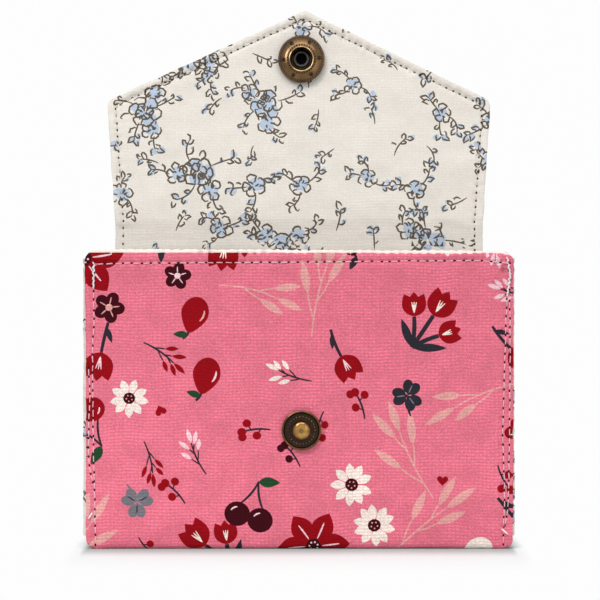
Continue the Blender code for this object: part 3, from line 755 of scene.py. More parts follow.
def small_flower(centre, size, rng):
    """Five open petals round a dark heart, over one patch of blue."""
    start = rng.uniform(0, tau)
    shapes = [dab(centre, 0.7 * size, rng)]
    for spoke in spokes(5, start):
        turn = spoke + rng.uniform(-0.2, 0.2)
        base = centre + 0.3 * size * unit(turn)
        shapes.append(open_petal(base, size * rng.uniform(0.65, 0.9), 0.85 * size, turn, rng))
    return shapes + heart_of(centre, size, rng, 5)


def full_bloom(centre, size, rng):
    """Two rings of overlapping open petals, a scribbled heart and three patches of blue."""
    start = rng.uniform(0, tau)
    shapes = []
    for i in range(3):
        spot = centre + 0.5 * size * unit(start + 2.1 * i)
        shapes.append(dab(spot, size * rng.uniform(0.32, 0.5), rng))
    for far, count, length, width in ((0.3, 6, 0.72, 0.8), (0.08, 4, 0.5, 0.55)):
        for spoke in spokes(count, start):
            turn = spoke + rng.uniform(-0.25, 0.25)
            base = centre + far * size * unit(turn)
            heading = turn + rng.uniform(-0.3, 0.3)
            shapes.append(
                open_petal(base, size * length * rng.uniform(0.8, 1.15), size * width, heading, rng)
            )
    return shapes + heart_of(centre, 0.9 * size, rng, 8)


# %% [markdown]
# The print throws three things: large sprays, small sprigs, and single twigs between them.

# %% Motifs of the lining print


def spray(rng):
    """A full bloom with two flowers beside it, leaves between them, and trailing twigs."""
    shapes = []
    start = rng.uniform(0, tau)
    for spoke in spokes(3, start):
        turn = spoke + rng.uniform(-0.4, 0.4)
        shapes += small_twig(3.2 * unit(turn), turn, rng.uniform(4.0, 7.0), rng)
        leaf = rng.uniform(2.6, 3.6)
        shapes.append(open_petal(3.0 * unit(turn + 0.9), leaf, leaf * 0.5, turn + 0.9, rng, 0.9))
    for i in range(2):
        turn = start + 0.6 + rng.uniform(1.2, 2.4) * i
        shapes += small_flower(5.4 * unit(turn), rng.uniform(2.3, 3.0), rng)
        shapes += small_twig(7.2 * unit(turn), turn + rng.uniform(-0.8, 0.8), rng.uniform(3.0, 5.5), rng)
    return shapes + full_bloom(0, rng.uniform(4.0, 4.9), rng)


def sprig(rng):
    shapes = []
    for spoke in spokes(3, rng.uniform(0, tau)):
        turn = spoke + rng.uniform(-0.5, 0.5)
        shapes += small_twig(1.8 * unit(turn), turn, rng.uniform(3.2, 5.6), rng)
    return shapes + small_flower(0, rng.uniform(2.3, 3.0), rng)


def loose_twig(rng):
    return small_twig(-2.4, 0.0, rng.uniform(4.2, 6.0), rng)


# %% Scatter the lining's motifs
LINING_END = 300.0
lining_kinds = [(spray, 9.2, 3, 1.15), (sprig, 6.0, 3, 1.1), (loose_twig, 3.9, 3, 1.05)]
lining_region = (complex(-OUTER_REACH, -4), complex(OUTER_REACH, LINING_END))
lining_print = tossed(lining_kinds, lining_region, 5)

# %% [markdown]
# ## Paths, outlines and seams
#
# The cloth runs over folds, so its second coordinate is measured along a path: a line in
# the plane of the wallet's side with a round at each fold. The path also gives the
# direction that the cloth faces at each point.

# %% Paths


def rounded(before, corner, after, radius, steps=9):
    """The points of the arc that rounds a corner. A straight corner stays one point."""
    to_last = (before - corner) / abs(before - corner)
    to_next = (after - corner) / abs(after - corner)
    half = abs(np.angle(to_next / to_last)) / 2
    if half > 1.56:
        return np.array([corner])
    centre = corner + (to_last + to_next) / abs(to_last + to_next) * radius / sin(half)
    share = np.linspace(0, 1, steps)
    way = corner - centre + (to_last * (1 - share) + to_next * share) * radius / tan(half)
    return centre + way / np.abs(way) * radius


def trace(corners, rounds):
    """A path through corners with that round at each. It has length, point and facing."""
    corners = [complex(*corner) for corner in corners]
    arcs = [rounded(*bend) for bend in zip(corners, corners[1:], corners[2:], rounds)]
    points = np.concatenate([corners[:1], *arcs, corners[-1:]])
    length = np.concatenate([[0], np.cumsum(np.abs(np.diff(points)))])
    points = np.stack([points.real, points.imag], axis=1)
    way = np.gradient(points, length, axis=0)
    way /= np.linalg.norm(way, axis=1)[:, None]
    facing = np.stack([-way[:, 1], way[:, 0]], axis=1)
    return {"length": length, "point": points, "facing": facing}


def along(path, distance):
    """The point on a path and the direction it faces, at each distance."""
    point, facing = [
        np.stack([np.interp(distance, path["length"], path[what][:, i]) for i in (0, 1)], axis=1)
        for what in ("point", "facing")
    ]
    return point, facing / np.linalg.norm(facing, axis=1)[:, None]


def distance_to(path, target):
    """How far along the path its nearest point to target is."""
    steps = np.linspace(0, path["length"][-1], 4000)
    points, _ = along(path, steps)
    return steps[np.argmin(np.linalg.norm(points - np.array(target), axis=1))]


# %% [markdown]
# Cloth is laid by a function that takes its flat place u, v and its height h, and gives
# the point in space. There is one for paths seen from the side and one for paths from above.

# %% Laying cloth on a path


def upright(path, start=0.0, side=1):
    """Lays cloth on a path seen from the side. Side -1 is cloth that is seen from behind."""

    def place(u, v, h):
        point, facing = along(path, v - start)
        point = point + facing * (side * h)[:, None]
        return np.stack([side * u, point[:, 0], point[:, 1]], axis=1)

    return place


def pleated(path):
    """Lays cloth on a path seen from above, so that v is the height."""

    def place(u, v, h):
        point, facing = along(path, u)
        point = point - facing * h[:, None]
        return np.stack([point[:, 0], point[:, 1], v], axis=1)

    return place


# %% [markdown]
# An outline is a loop of points with rounded corners. A hand-cut, hand-turned edge is
# never quite straight, so each loop also wanders by about a tenth of a millimetre.

# %% Outlines
EDGE_STEP = 0.8
CORNER_STEPS = 7


def loop_of(corners, rounds):
    """A closed anticlockwise loop, with corners rounded and sides cut into short steps."""
    corners = [complex(*corner) for corner in corners]
    before, after = corners[-1:] + corners[:-1], corners[1:] + corners[:1]
    arcs = [rounded(*bend, CORNER_STEPS) for bend in zip(before, corners, after, rounds)]
    loop = []
    for arc, following in zip(arcs, arcs[1:] + arcs[:1]):
        side = following[0] - arc[-1]
        count = ceil(abs(side) / EDGE_STEP)
        loop += [arc, arc[-1] + side * np.arange(1, count) / count]
    return np.concatenate(loop)


def panel(half, length):
    """The corners of a plain rectangle of cloth that starts at v 0."""
    return [(-half, 0), (half, 0), (half, length), (-half, length)]


# %% [markdown]
# The wander is smooth noise, added along the direction that points out of the loop. A side
# that was cut off for the next piece of cloth has no such direction, so it stays straight.

# %% Hand-cut edges


def is_cut(loop, cuts):
    """Which points lie on a side where the next piece of cloth goes on."""
    on_cut = np.zeros(len(loop), bool)
    for cut in cuts:
        on_cut |= np.abs(loop.imag - cut) < 0.02
    return on_cut


def outward(loop, cuts=()):
    """The outward direction at each point of a loop. A side that is cut off has none."""
    ahead = np.roll(loop, -1) - loop
    on_cut = is_cut(loop, cuts)
    ahead = np.where(on_cut & np.roll(on_cut, -1), 0, ahead)
    total = -1j * (ahead + np.roll(ahead, 1))
    total = np.where(on_cut, total.real, total)
    size = np.abs(total)
    return np.where(size > 1e-6, total / np.maximum(size, 1e-6), 0)


def drift(points, size, amount, seed):
    """Smooth noise over the cloth, about between minus and plus amount."""
    rng = np.random.default_rng(int(seed * 10))
    total = np.zeros(len(points))
    for _ in range(7):
        wave = unit(rng.uniform(0, tau)) * 2 * pi / (size * rng.uniform(1.2, 2.8))
        total += np.sin((points * np.conj(wave)).real + rng.uniform(0, tau))
    return amount * total / 4


def hand_cut(loop, cuts=(), amount=0.16, seed=1.5):
    wander = drift(loop, 5.0, amount, seed) + drift(loop, 1.7, amount * 0.5, seed + 9)
    return loop + outward(loop, cuts) * wander


# %% [markdown]
# A seam is a line of needle holes. The needle goes in at an even pitch, and the thread
# pulls the cloth down along the line, puffs it up on both sides and puckers it a little.
# The same few numbers therefore make the holes, the dents in the cloth and, later, the
# stitches themselves.

# %% Seams
STITCH_PITCH = 2.55


def seam(corners, seed, pitch=STITCH_PITCH, jitter=0.05):
    """Needle holes along a line through corners, about pitch apart."""
    corners = np.array([complex(*corner) for corner in corners])
    length = np.concatenate([[0], np.cumsum(np.abs(np.diff(corners)))])
    count = max(2, round(length[-1] / pitch))
    rng = np.random.default_rng(seed)
    spots = np.linspace(0, length[-1], count + 1)
    spots[1:-1] += rng.normal(0, jitter * pitch, count - 1)
    holes = np.interp(spots, length, corners.real) + 1j * np.interp(spots, length, corners.imag)
    return holes + (rng.normal(0, 0.04, count + 1) + 1j * rng.normal(0, 0.04, count + 1))


REACH_OF_SEAM = 6.0


def near(points, holes, reach=REACH_OF_SEAM):
    """Distance from each point to a seam, at most reach, and how far along the seam."""
    order = np.argsort(points.imag)
    spots = points[order]
    best = np.full(len(points), reach)
    where = np.zeros(len(points))
    lows = np.searchsorted(spots.imag, np.minimum(holes[:-1].imag, holes[1:].imag) - reach)
    highs = np.searchsorted(spots.imag, np.maximum(holes[:-1].imag, holes[1:].imag) + reach)
    run = 0.0
    for start, end, low, high in zip(holes, holes[1:], lows, highs):
        way = end - start
        part = spots[low:high] - start
        share = (part * way.conjugate()).real / abs(way) ** 2
        share = np.minimum(np.maximum(share, 0), 1)
        gap = np.abs(part - share * way)
        closer = np.nonzero(gap < best[low:high])[0]
        best[low + closer] = gap[closer]
        where[low + closer] = run + share[closer] * abs(way)
        run += abs(way)
    gaps, runs = np.empty(len(points)), np.empty(len(points))
    gaps[order], runs[order] = best, where
    return gaps, runs


def to_edge(points, loop, reach=REACH_OF_SEAM):
    gap, _ = near(points, np.append(loop, loop[0]), reach)
    return gap


def to_holes(points, holes, reach=0.7):
    """Distance from each point to its nearest needle hole, at most reach."""
    order = np.argsort(points.imag)
    spots = points[order]
    best = np.full(len(points), reach)
    lows = np.searchsorted(spots.imag, holes.imag - reach)
    highs = np.searchsorted(spots.imag, holes.imag + reach)
    for hole, low, high in zip(holes, lows, highs):
        best[low:high] = np.minimum(best[low:high], np.abs(spots[low:high] - hole))
    gaps = np.empty(len(points))
    gaps[order] = best
    return gaps


# %% [markdown]
# The cloth's height is the sum of soft waves, a puffed edge, a dent along each seam with
# the cloth puffed and puckered beside it, and a small pit at each needle hole.

# %% The height of sewn cloth
SEAM_DENT = 0.34
SEAM_WIDTH = 0.62
PUFF = 0.22
PUCKER = 0.12


def sewn_relief(loop, seams, border, soft=0.1, seed=3.0, extra=None):
    """The height of the cloth at each point: edge puff, seam dents, puckers, soft waves."""
    holes = np.concatenate(seams) if seams else None

    def height(points):
        rise = drift(points, 11.0, soft, seed) + drift(points, 4.0, soft * 0.3, seed + 4)
        edge = to_edge(points, loop)
        rise += PUFF * np.sin(pi * np.clip(edge / border, 0, 1)) ** 0.8 * (edge < border)
        for line_of_holes in seams:
            gap, run = near(points, line_of_holes)
            rise -= SEAM_DENT * np.exp(-((gap / SEAM_WIDTH) ** 2))
            rise += drift(run + 0j, 1.3, PUCKER, seed) * np.exp(-((gap / 2.6) ** 2))
            inside = np.clip((gap - SEAM_WIDTH) / 5.0, 0, 1)
            rise += PUFF * 0.7 * (1 - inside) * (gap > SEAM_WIDTH) * (edge > border)
        if holes is not None:
            rise -= 0.16 * np.exp(-((to_holes(points, holes) / 0.3) ** 2))
        if extra:
            rise += extra(points)
        return rise

    return height


# %% [markdown]
# ## The cloth net
#
# Every piece of cloth is made in the same way. Blender's constrained Delaunay triangulation
# takes the outline, the motifs and a grid of loose points, and returns triangles that
# never cross a motif's edge. Each triangle takes the colour of the last motif that holds
# its middle. The outline is then carried round the turned edge in rings, and closed on
# the back, so the piece is one closed body with real thickness.

# %% The triangulated net
GRID = 1.5
HOLE_LENGTH, HOLE_HEIGHT = 0.42, 0.26
SMALLEST = 1e-3


def bounds_of(points):
    return points.real.min(), points.real.max(), points.imag.min(), points.imag.max()


def meets(first, second):
    across = first[0] < second[1] and second[0] < first[1]
    return across and first[2] < second[3] and second[2] < first[3]


def within(small, large):
    across = small[0] > large[0] and small[1] < large[1]
    return across and small[2] > large[2] and small[3] < large[3]


def triangulate(loop, outlines, loose):
    """Points and triangles of the net inside loop, with the loop's own edges kept."""
    points = [loop] + outlines + [loose]
    flat = np.concatenate(points)
    edges = []
    start = 0
    for shape in points[:-1]:
        count = len(shape)
        edges += [(start + i, start + (i + 1) % count) for i in range(count)]
        start += count
    vectors = [Vector((p.real, p.imag)) for p in flat]
    found = geometry.delaunay_2d_cdt(vectors, edges, [], 0, SMALLEST, False)
    net = np.array([complex(p.x, p.y) for p in found[0]])
    faces = np.array([tuple(face) for face in found[2]])
    faces = faces[holds(loop, net[faces].mean(axis=1))]
    return net, faces


def holds(shape, points):
    """Which points the closed shape winds round."""
    turns = np.zeros(len(points))
    for start, end in zip(shape, np.roll(shape, -1)):
        turns += np.angle((end - points) / (start - points))
    return np.abs(turns) > pi


# %% [markdown]
# The net is painted triangle by triangle, and its outer edge is followed from point to
# point, because the turned edge goes on from there.

# %% Painting the net and finding its rim


def paint(net, faces, shapes, ground):
    """The ink of each triangle: the last shape that holds its middle."""
    middles = net[faces].mean(axis=1)
    order = np.argsort(middles.real)
    sorted_x = middles.real[order]
    inks = np.full(len(faces), INK_NAMES.index(ground))
    for points, ink in shapes:
        left, right, low, high = bounds_of(points)
        chosen = order[np.searchsorted(sorted_x, left) : np.searchsorted(sorted_x, right)]
        chosen = chosen[(middles.imag[chosen] > low) & (middles.imag[chosen] < high)]
        if len(chosen):
            inks[chosen[holds(points, middles[chosen])]] = INK_NAMES.index(ink)
    return inks


def rim_of(faces):
    """The net's outer edge as an ordered loop of points, and the triangle at each edge."""
    starts = faces.ravel()
    ends = np.roll(faces, -1, axis=1).ravel()
    size = faces.max() + 1
    alone = np.nonzero(~np.isin(starts * size + ends, ends * size + starts))[0]
    following = {int(starts[i]): (int(ends[i]), int(i) // 3) for i in alone}
    first = next(iter(following))
    rim, owners = [], []
    point = first
    while True:
        rim.append(point)
        point, owner = following[point]
        owners.append(owner)
        if point == first:
            break
    return np.array(rim), np.array(owners)


def grid_in(loop, rows=None):
    """Loose points inside a loop. Rows gives the v values where the cloth bends."""
    left, right, low, high = bounds_of(loop)
    across = np.arange(left + GRID / 2, right, GRID)
    heights = np.arange(low + GRID / 2, high, GRID)
    if rows is not None:
        clear = (heights < rows.min() - 0.4) | (heights > rows.max() + 0.4)
        heights = np.concatenate([heights[clear], rows])
    u, v = np.meshgrid(across, heights)
    shift = (np.arange(len(heights)) % 2)[:, None] * GRID / 2
    points = (u + shift + 1j * v).ravel()
    return points[to_edge(points, loop) > GRID * 0.3]


# %% [markdown]
# A needle hole is a small oval in the net, painted dark as the shade down the hole, with a
# ring of loose points round it, so that the dent there is smooth. The hidden side of the
# cloth has a plain, wider net.

# %% The two nets of a cloth


def back_grid(loop):
    """A plain net for the side of the cloth that nobody sees."""
    left, right, low, high = bounds_of(loop)
    step = GRID * 2
    u, v = np.meshgrid(np.arange(left + step, right, step), np.arange(low + step / 2, high, step / 2))
    loose = (u + 1j * v).ravel()
    return loose[to_edge(loose, loop) > GRID * 0.4]


def face_net(loop, shapes, seams, needle, rows, ground):
    """The net of a cloth's face and its inks, and its rim's points with the inks there."""
    holes = np.concatenate(seams) if len(seams) else np.zeros(0, complex)
    turns = np.concatenate([np.angle(np.gradient(part)) for part in seams]) if len(seams) else []
    painted_hole_shades = [(oval(hole, HOLE_LENGTH, HOLE_HEIGHT, turn, 8), needle) for hole, turn in zip(holes, turns)]
    marked = shapes + painted_hole_shades
    loose = [grid_in(loop, rows), holes]
    loose += [oval(hole, 0.5, 0.5, count=8) for hole in holes]
    net, faces = triangulate(loop, [p for p, _ in marked], np.concatenate(loose))
    inks = paint(net, faces, marked, ground)
    rim, owners = rim_of(faces)
    used = np.unique(faces)
    number = np.full(len(net), -1)
    number[used] = np.arange(len(used))
    return net[used], number[faces], inks, number[rim], inks[owners]


def joined(net, rim, rim_numbers, next_number):
    """Numbers a net's points: those on the rim keep its numbers, the others are new."""
    tree = kdtree.KDTree(len(rim))
    for index, spot in enumerate(rim):
        tree.insert((spot.real, spot.imag, 0), index)
    tree.balance()
    found = [tree.find((spot.real, spot.imag, 0)) for spot in net]
    numbers = np.array([rim_numbers[nearest] for _, nearest, _ in found])
    fresh = np.array([gap >= 2 * SMALLEST for _, _, gap in found])
    numbers[fresh] = next_number + np.arange(fresh.sum())
    return numbers, net[fresh]


# %% [markdown]
# The rings round a turned edge follow a quarter circle. A hem goes on from there: down
# behind the face, inwards, and up again to the back of the cloth.

# %% Turned edges
TURN_RINGS = 4


def calm(points, cuts):
    """Fades the relief to nothing at a cut side, so that neighbours meet."""
    fade = np.ones(len(points))
    for cut in cuts:
        share = np.clip(np.abs(points.imag - cut) / 5.0, 0, 1)
        fade *= share * share * (3 - 2 * share)
    return fade


def turned_rings(rise, height, edge, thick, hem):
    """Each ring's distance outwards, its depth, and its distance on the flat cloth."""
    rings = []
    for step in range(1, TURN_RINGS + 1):
        turn = pi / 2 * step / TURN_RINGS
        depth = rise * (1 - step / TURN_RINGS) - edge * (1 - cos(turn))
        rings.append((edge * sin(turn), depth, edge * turn))
    back = np.full(len(rise), -thick)
    if not hem:
        return rings + [(edge, back, edge + thick)]
    deep, width, low, high = hem
    fade = np.clip((height - low) / 3.0, 0, 1) * np.clip((high - height) / 2.0, 0, 1)
    shallow = thick + 0.05
    bottom = -(shallow + (deep - shallow) * fade)
    inner = edge + deep + width
    return rings + [(edge, bottom, edge + deep), (edge - width, bottom, inner), (edge - width, back, inner)]


# %% [markdown]
# The mesh keeps three things for its material: the ink of each face as a colour
# attribute, the place on the flat cloth as a UV map, and normals that are given.
# These are worked out from the height function, because thin triangles beside a motif
# would otherwise tilt them and the print's outlines would show as creases.

# %% Turning the net into an object
INK_COLOURS = np.array([colour(value) for value in INKS.values()])


def build_mesh(name, points, faces, flat, inks, finish):
    mesh = bpy.data.meshes.new(name)
    sizes = np.array([len(face) for face in faces])
    corners = np.concatenate([np.array(face) for face in faces]).astype(np.int32)
    mesh.vertices.add(len(points))
    mesh.vertices.foreach_set("co", points.astype(np.float32).ravel())
    mesh.loops.add(len(corners))
    mesh.loops.foreach_set("vertex_index", corners)
    mesh.polygons.add(len(sizes))
    mesh.polygons.foreach_set("loop_start", np.concatenate([[0], np.cumsum(sizes)[:-1]]).astype(np.int32))
    mesh.update(calc_edges=True)
    layer = mesh.color_attributes.new("print", "FLOAT_COLOR", "CORNER")
    layer.data.foreach_set("color", np.repeat(INK_COLOURS[inks], sizes, axis=0).astype(np.float32).ravel())
    where = np.stack([flat[corners].real, flat[corners].imag], axis=1) / UV_UNIT
    uv_layer = mesh.uv_layers.new(name="cloth")
    uv_layer.data.foreach_set("uv", where.astype(np.float32).ravel())
    if mesh.validate():
        print(name, "had faces that were mended")
    return finished(name, mesh, finish)


def steer_normals(made, net, rim, place, relief, rise, cuts):
    """Sets the face's normals from the height function instead of from the triangles."""
    mesh = made.data
    here = place(net.real, net.imag, rise)
    middle = (net.imag.min() + net.imag.max()) / 2
    step = 0.05 * np.where(net.imag > middle, -1, 1)  # a step inwards, so that it stays on the path
    ways = []
    for shift in (step, 1j * step):
        spots = net + shift
        ways.append(place(spots.real, spots.imag, relief(spots)) - here)
    true = np.cross(ways[0], ways[1])
    true /= np.linalg.norm(true, axis=1)[:, None]
    normals = np.empty(len(mesh.vertices) * 3, np.float32)
    mesh.vertex_normals.foreach_get("vector", normals)
    normals = normals.reshape(-1, 3)
    steered = np.ones(len(net), bool)
    steered[rim] = False
    steered |= is_cut(net, cuts)
    normals[: len(net)][steered] = true[steered]
    mesh.normals_split_custom_set_from_vertices(normals)


# %% [markdown]
# The cloth maker puts these parts together. It keeps how each cloth was laid, because the
# stitches are later laid on it in the same way.

# %% The cloth maker
laid = {}


def cloth(name, silhouette, place, look, shapes=(), seams=(), thick=CLOTH, edge=0.3, border=3.4,
          hem=None, cuts=(), rows=None, relief=None, back_shapes=(), back_ground=None):
    """One closed piece of printed cloth.

    edge is the radius of its turned edge. hem is how deep and how wide the edge turns in,
    and between which v. cuts are the v of sides that are left flat for a neighbour.
    """
    finish, ground, needle = look
    area = bounds_of(silhouette)
    face_loop = silhouette - outward(silhouette, cuts) * edge
    near_shapes = [(p, ink) for p, ink in shapes if meets(bounds_of(p), area)]
    net, faces, inks, rim, rim_inks = face_net(face_loop, near_shapes, seams, needle, rows, ground)
    full_relief = relief or sewn_relief(face_loop, seams, border)

    def relief_at(spots):
        return full_relief(spots) * calm(spots, cuts)

    rise = relief_at(net)
    side = outward(net[rim], cuts)
    points, flat = [place(net.real, net.imag, rise)], [net]
    rings = turned_rings(rise[rim], net[rim].imag, edge, thick, hem)
    for offset, depth, shown in rings:
        spots = net[rim] + side * offset
        points.append(place(spots.real, spots.imag, depth))
        flat.append(net[rim] + side * shown)
    numbers = np.vstack([rim, len(net) + np.arange(len(rings) * len(rim)).reshape(-1, len(rim))])
    beside = np.roll(numbers, -1, axis=1)
    quads = np.stack([numbers[:-1], numbers[1:], beside[1:], beside[:-1]], axis=2).reshape(-1, 4)
    quad_inks = np.tile(rim_inks, len(rings))

    inner = area[0] + 0.6, area[1] - 0.6, area[2] + 0.6, area[3] - 0.6
    hidden = [(p, ink) for p, ink in back_shapes if within(bounds_of(p), inner)]
    back, back_faces = triangulate(spots, [p for p, _ in hidden], back_grid(spots))
    back_inks = paint(back, back_faces, hidden, back_ground or ground)
    back_numbers, extra = joined(back, spots, numbers[-1], numbers.max() + 1)
    points.append(place(extra.real, extra.imag, np.full(len(extra), -thick)))
    flat.append(extra)
    closing = back_numbers[back_faces][:, ::-1]

    all_faces = [tuple(face) for part in (faces, quads, closing) for face in part]
    all_inks = np.concatenate([inks, quad_inks, back_inks]).astype(int)
    made = build_mesh(name, np.concatenate(points) * MM, all_faces, np.concatenate(flat), all_inks, finish)
    steer_normals(made, net, rim, place, relief_at, rise, cuts)
    laid[name] = (place, relief_at)
    return made


# %% [markdown]
# ## The front
#
# The front is the print's best view: one flat face with a topstitched border along its
# top and both sides, running on round the base without a seam. The cloth net is laid up
# the front from the middle of the base, where the back's cloth takes over.

# %% Front cloth
BASE_ROUND = 1.4
front_path = trace([(0, 0), (-FACE, 0), (-FACE, TOP)], [BASE_ROUND])
front_length = front_path["length"][-1]
FRONT_START = front_length - TOP


def narrowed(loop, path):
    """Pulls a loop in at the base, where the wallet's lower corners are round."""
    point, _ = along(path, loop.imag)
    height = np.clip(point[:, 1], 0, BODY_ROUND)
    pull = BODY_ROUND - np.sqrt(BODY_ROUND**2 - (BODY_ROUND - height) ** 2)
    return loop.real * (1 - pull / HALF_WIDTH) + 1j * loop.imag


def scalloped(loop, level, pitch, amount=0.1):
    """Draws the edge in at each stitch, near the given v."""
    share = np.clip(1 - np.abs(loop.imag - level) / 0.5, 0, 1)
    return loop + 1j * share * amount * np.sin(tau * loop.real / pitch + 0.7)


def waisted(loop, length, amount):
    """Draws the side edges in below the top corners, where the gussets' folds show."""
    below_top = np.clip((length - 9.0 - loop.imag) / 12.0, 0, 1)
    return loop - np.sign(loop.real) * (np.abs(loop.real) > HALF_WIDTH - 3) * below_top * amount


def sloped(loop, level, rise):
    """Lifts the edge near the given v more on the left than on the right."""
    share = np.clip(1 - np.abs(loop.imag - level) / 3.5, 0, 1)
    return loop - 1j * share * rise * loop.real / HALF_WIDTH


front_loop = narrowed(loop_of(panel(HALF_WIDTH, front_length), [0.01, 0.01, 2.4, 2.4]), front_path)
front_loop = waisted(front_loop, front_length, 0.25)
# The left edge was turned in half a millimetre too far, and the right one a little too.
LEFT_TURNED_IN, RIGHT_TURNED_IN = 0.5, 0.15
front_loop = front_loop + LEFT_TURNED_IN * (front_loop.real < 3 - HALF_WIDTH)
front_loop = front_loop - RIGHT_TURNED_IN * (front_loop.real > HALF_WIDTH - 3)
front_loop = scalloped(hand_cut(front_loop, [0.0]), front_length, STITCH_PITCH, 0.22)
front_loop = sloped(front_loop, front_length, 0.32)


def front_seam(seed, *points):
    """A seam through points (x, z) on the front or the back."""
    return seam([(x, z + FRONT_START) for x, z in points], seed)


# %% Seams of the front
front_seams = [
    front_seam(1, (-56.6, 79.1), (-50, 79.4), (0, 79.7), (50, 80.2), (58.6, 79.4)),
    front_seam(2, (-56.9, 79.2), (-57.1, 69), (-56.9, 64), (-57.4, 54), (-57.1, 27), (-56.5, 1.2)),
    front_seam(3, (57.7, 82.0), (58.2, 79), (58.7, 73), (57.8, 69), (57.4, 58), (57.0, 46), (56.6, 32),
               (57.2, 16), (56.8, 1.2)),
]
# The sides were sewn twice, to fix the gussets: the second line runs outside the first.
front_seams += [
    front_seam(21, (-58.4, 50.3), (-58.1, 43), (-58.4, 36), (-58.5, 28), (-58.2, 22.5), (-57.3, 18.5)),
    front_seam(22, (58.6, 68.9), (58.7, 58), (58.6, 41), (58.5, 30), (58.3, 20), (58.0, 11), (57.2, 6.5)),
]
base_rows = np.arange(0.4, FRONT_START + 2.6, 0.5)


def pressed_at(centre, radius, depth, softness=2.0):
    """The dent round a rivet, as an addition to a cloth's height."""

    def dent(points):
        beyond = np.clip(np.abs(points - centre) - radius, 0, 9)
        return -depth * np.exp(-((beyond / softness) ** 2))

    return dent


stud_spot = SNAP_X + 1j * (STUD_Z + FRONT_START)
front_relief = sewn_relief(front_loop, front_seams, 3.4, extra=pressed_at(stud_spot, 5.0, 0.3))
front_cloth = cloth("front_cloth", front_loop, upright(front_path), OUTER, outer_print, front_seams,
                    edge=0.55, hem=(1.25, 1.5, 9.0, 200.0), cuts=[0.0], rows=base_rows, relief=front_relief)
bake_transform(front_cloth)
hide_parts("front_cover")

# %% [markdown]
# ## Back, fold strip and flap, outside
#
# The same strip of cloth goes on up the back, over the mouth as a strip without
# stiffening, and ends as the flap. It is made in two nets that meet in the middle of the
# fold strip, because each can bend over one hinge only.

# %% Back cloth
strip_in = np.array([-cos(STRIP_LEAN), sin(STRIP_LEAN)])
flap_in = np.array([-cos(FLAP_LEAN), sin(FLAP_LEAN)])
strip_middle = (BACK_FOLD + FRONT_FOLD) / 2
WALL_END = 81.2
NEAR_FOLD = 1.2
FLAP_FLAT = 2.2
FLAP_RUN = FLAP_LENGTH + 4.0


def strip_point(from_fold, distance, layer):
    return from_fold + distance * strip_up + layer * strip_in


def into_strip(layer):
    """The corners of a path that turns from the back wall into the fold strip."""
    return [strip_point(BACK_FOLD, NEAR_FOLD, layer), strip_point(strip_middle, 0, layer)]


back_corners = [(0, 0), (FACE, 0), (FACE, WALL_END)] + into_strip(-STRIP_THICK / 2)
back_path = trace(back_corners, [BASE_ROUND, 2.0, 2.0])
back_length = back_path["length"][-1]
back_top = distance_to(back_path, (FACE, TOP))


def stepped(half, top, length):
    """A wide panel up to its top, and from there on the narrower fold strip."""
    strip = [(STRIP_HALF, top), (STRIP_HALF, length), (-STRIP_HALF, length), (-STRIP_HALF, top)]
    return panel(half, top)[:3] + strip + [(-half, top)]


back_outline = stepped(HALF_WIDTH, back_top, back_length)
back_loop = narrowed(loop_of(back_outline, [0.01, 0.01, 2.4, 0.6, 0.01, 0.01, 0.6, 2.4]), back_path)
back_loop = hand_cut(back_loop, [0.0, back_length], seed=6.5)
back_seams = [
    front_seam(4, (-57.0, 79.0), (-56.7, 55), (-57.2, 30), (-56.6, 1.5)),
    front_seam(5, (57.1, 79.0), (57.3, 60), (56.8, 33), (56.6, 1.5)),
    front_seam(6, (-56.5, 79.3), (-STRIP_HALF, 79.5), (STRIP_HALF, 79.5), (56.5, 79.3)),
]
back_rows = np.concatenate([base_rows, np.arange(WALL_END + FRONT_START - 0.8, back_length - 0.2, 0.5)])
back_print = [(-points, ink) for points, ink in outer_print]
back_cloth = cloth("back_cloth", back_loop, upright(back_path, side=-1), OUTER, back_print, back_seams,
                   edge=0.6, hem=(1.25, 1.5, 9.0, back_top - 0.5), cuts=[0.0, back_length], rows=back_rows)
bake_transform(back_cloth)
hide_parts("back_cover", "base_cover")

# %% [markdown]
# The flap's outline is drawn once, as seen from the lining side, and mirrored for the
# outer cloth, which is cut a hair smaller so that no pink shows round the lining.

# %% Flap outline
FLAP_PITCH = 2.14
FLAP_BORDER = 2.3


def flap_path(layer_strip, layer_flap):
    corners = [strip_point(strip_middle, 0, layer_strip), strip_point(FRONT_FOLD, -NEAR_FOLD, layer_strip)]
    corners.append(FRONT_FOLD + FLAP_FLAT * flap_up + layer_flap * flap_in)
    corners.append(FRONT_FOLD + FLAP_RUN * flap_up + layer_flap * flap_in)
    path = trace(corners, [2.0, 3.0])
    return path, path["length"][-1] - FLAP_RUN


def flap_corners(start, inset=0.0):
    """The flap's five corners, with the root's two sides running down to the strip."""
    half, wide = STRIP_HALF, FLAP_SHOULDER_HALF
    shoulder, point = start + FLAP_SHOULDER, start + FLAP_LENGTH
    corners = [(-half, 0), (half, 0), (half, start + 1), (wide, shoulder), (FLAP_POINT_X, point),
               (-wide, shoulder), (-half, start + 1)]
    if not inset:
        return corners
    loop = np.array([complex(*corner) for corner in corners])
    moved = []
    for before, corner, after in zip(np.roll(loop, 1), loop, np.roll(loop, -1)):
        inward = 1j * (corner - before) / abs(corner - before)
        inward_next = 1j * (after - corner) / abs(after - corner)
        bisector = inward + inward_next
        spot = corner + bisector * inset / (bisector * np.conj(inward_next)).real
        moved.append((spot.real, spot.imag))
    return moved


FLAP_ROUNDS = [0.01, 0.01, 4.0, FLAP_SHOULDER_ROUND, FLAP_POINT_ROUND, FLAP_SHOULDER_ROUND, 4.0]
SEAM_FOOT = 0.7


def flap_seam(start, seed):
    corners = flap_corners(start, FLAP_BORDER)
    line_corners = [(corners[1][0], SEAM_FOOT)] + corners[2:7] + [(corners[0][0], SEAM_FOOT)]
    return seam(line_corners, seed, FLAP_PITCH)


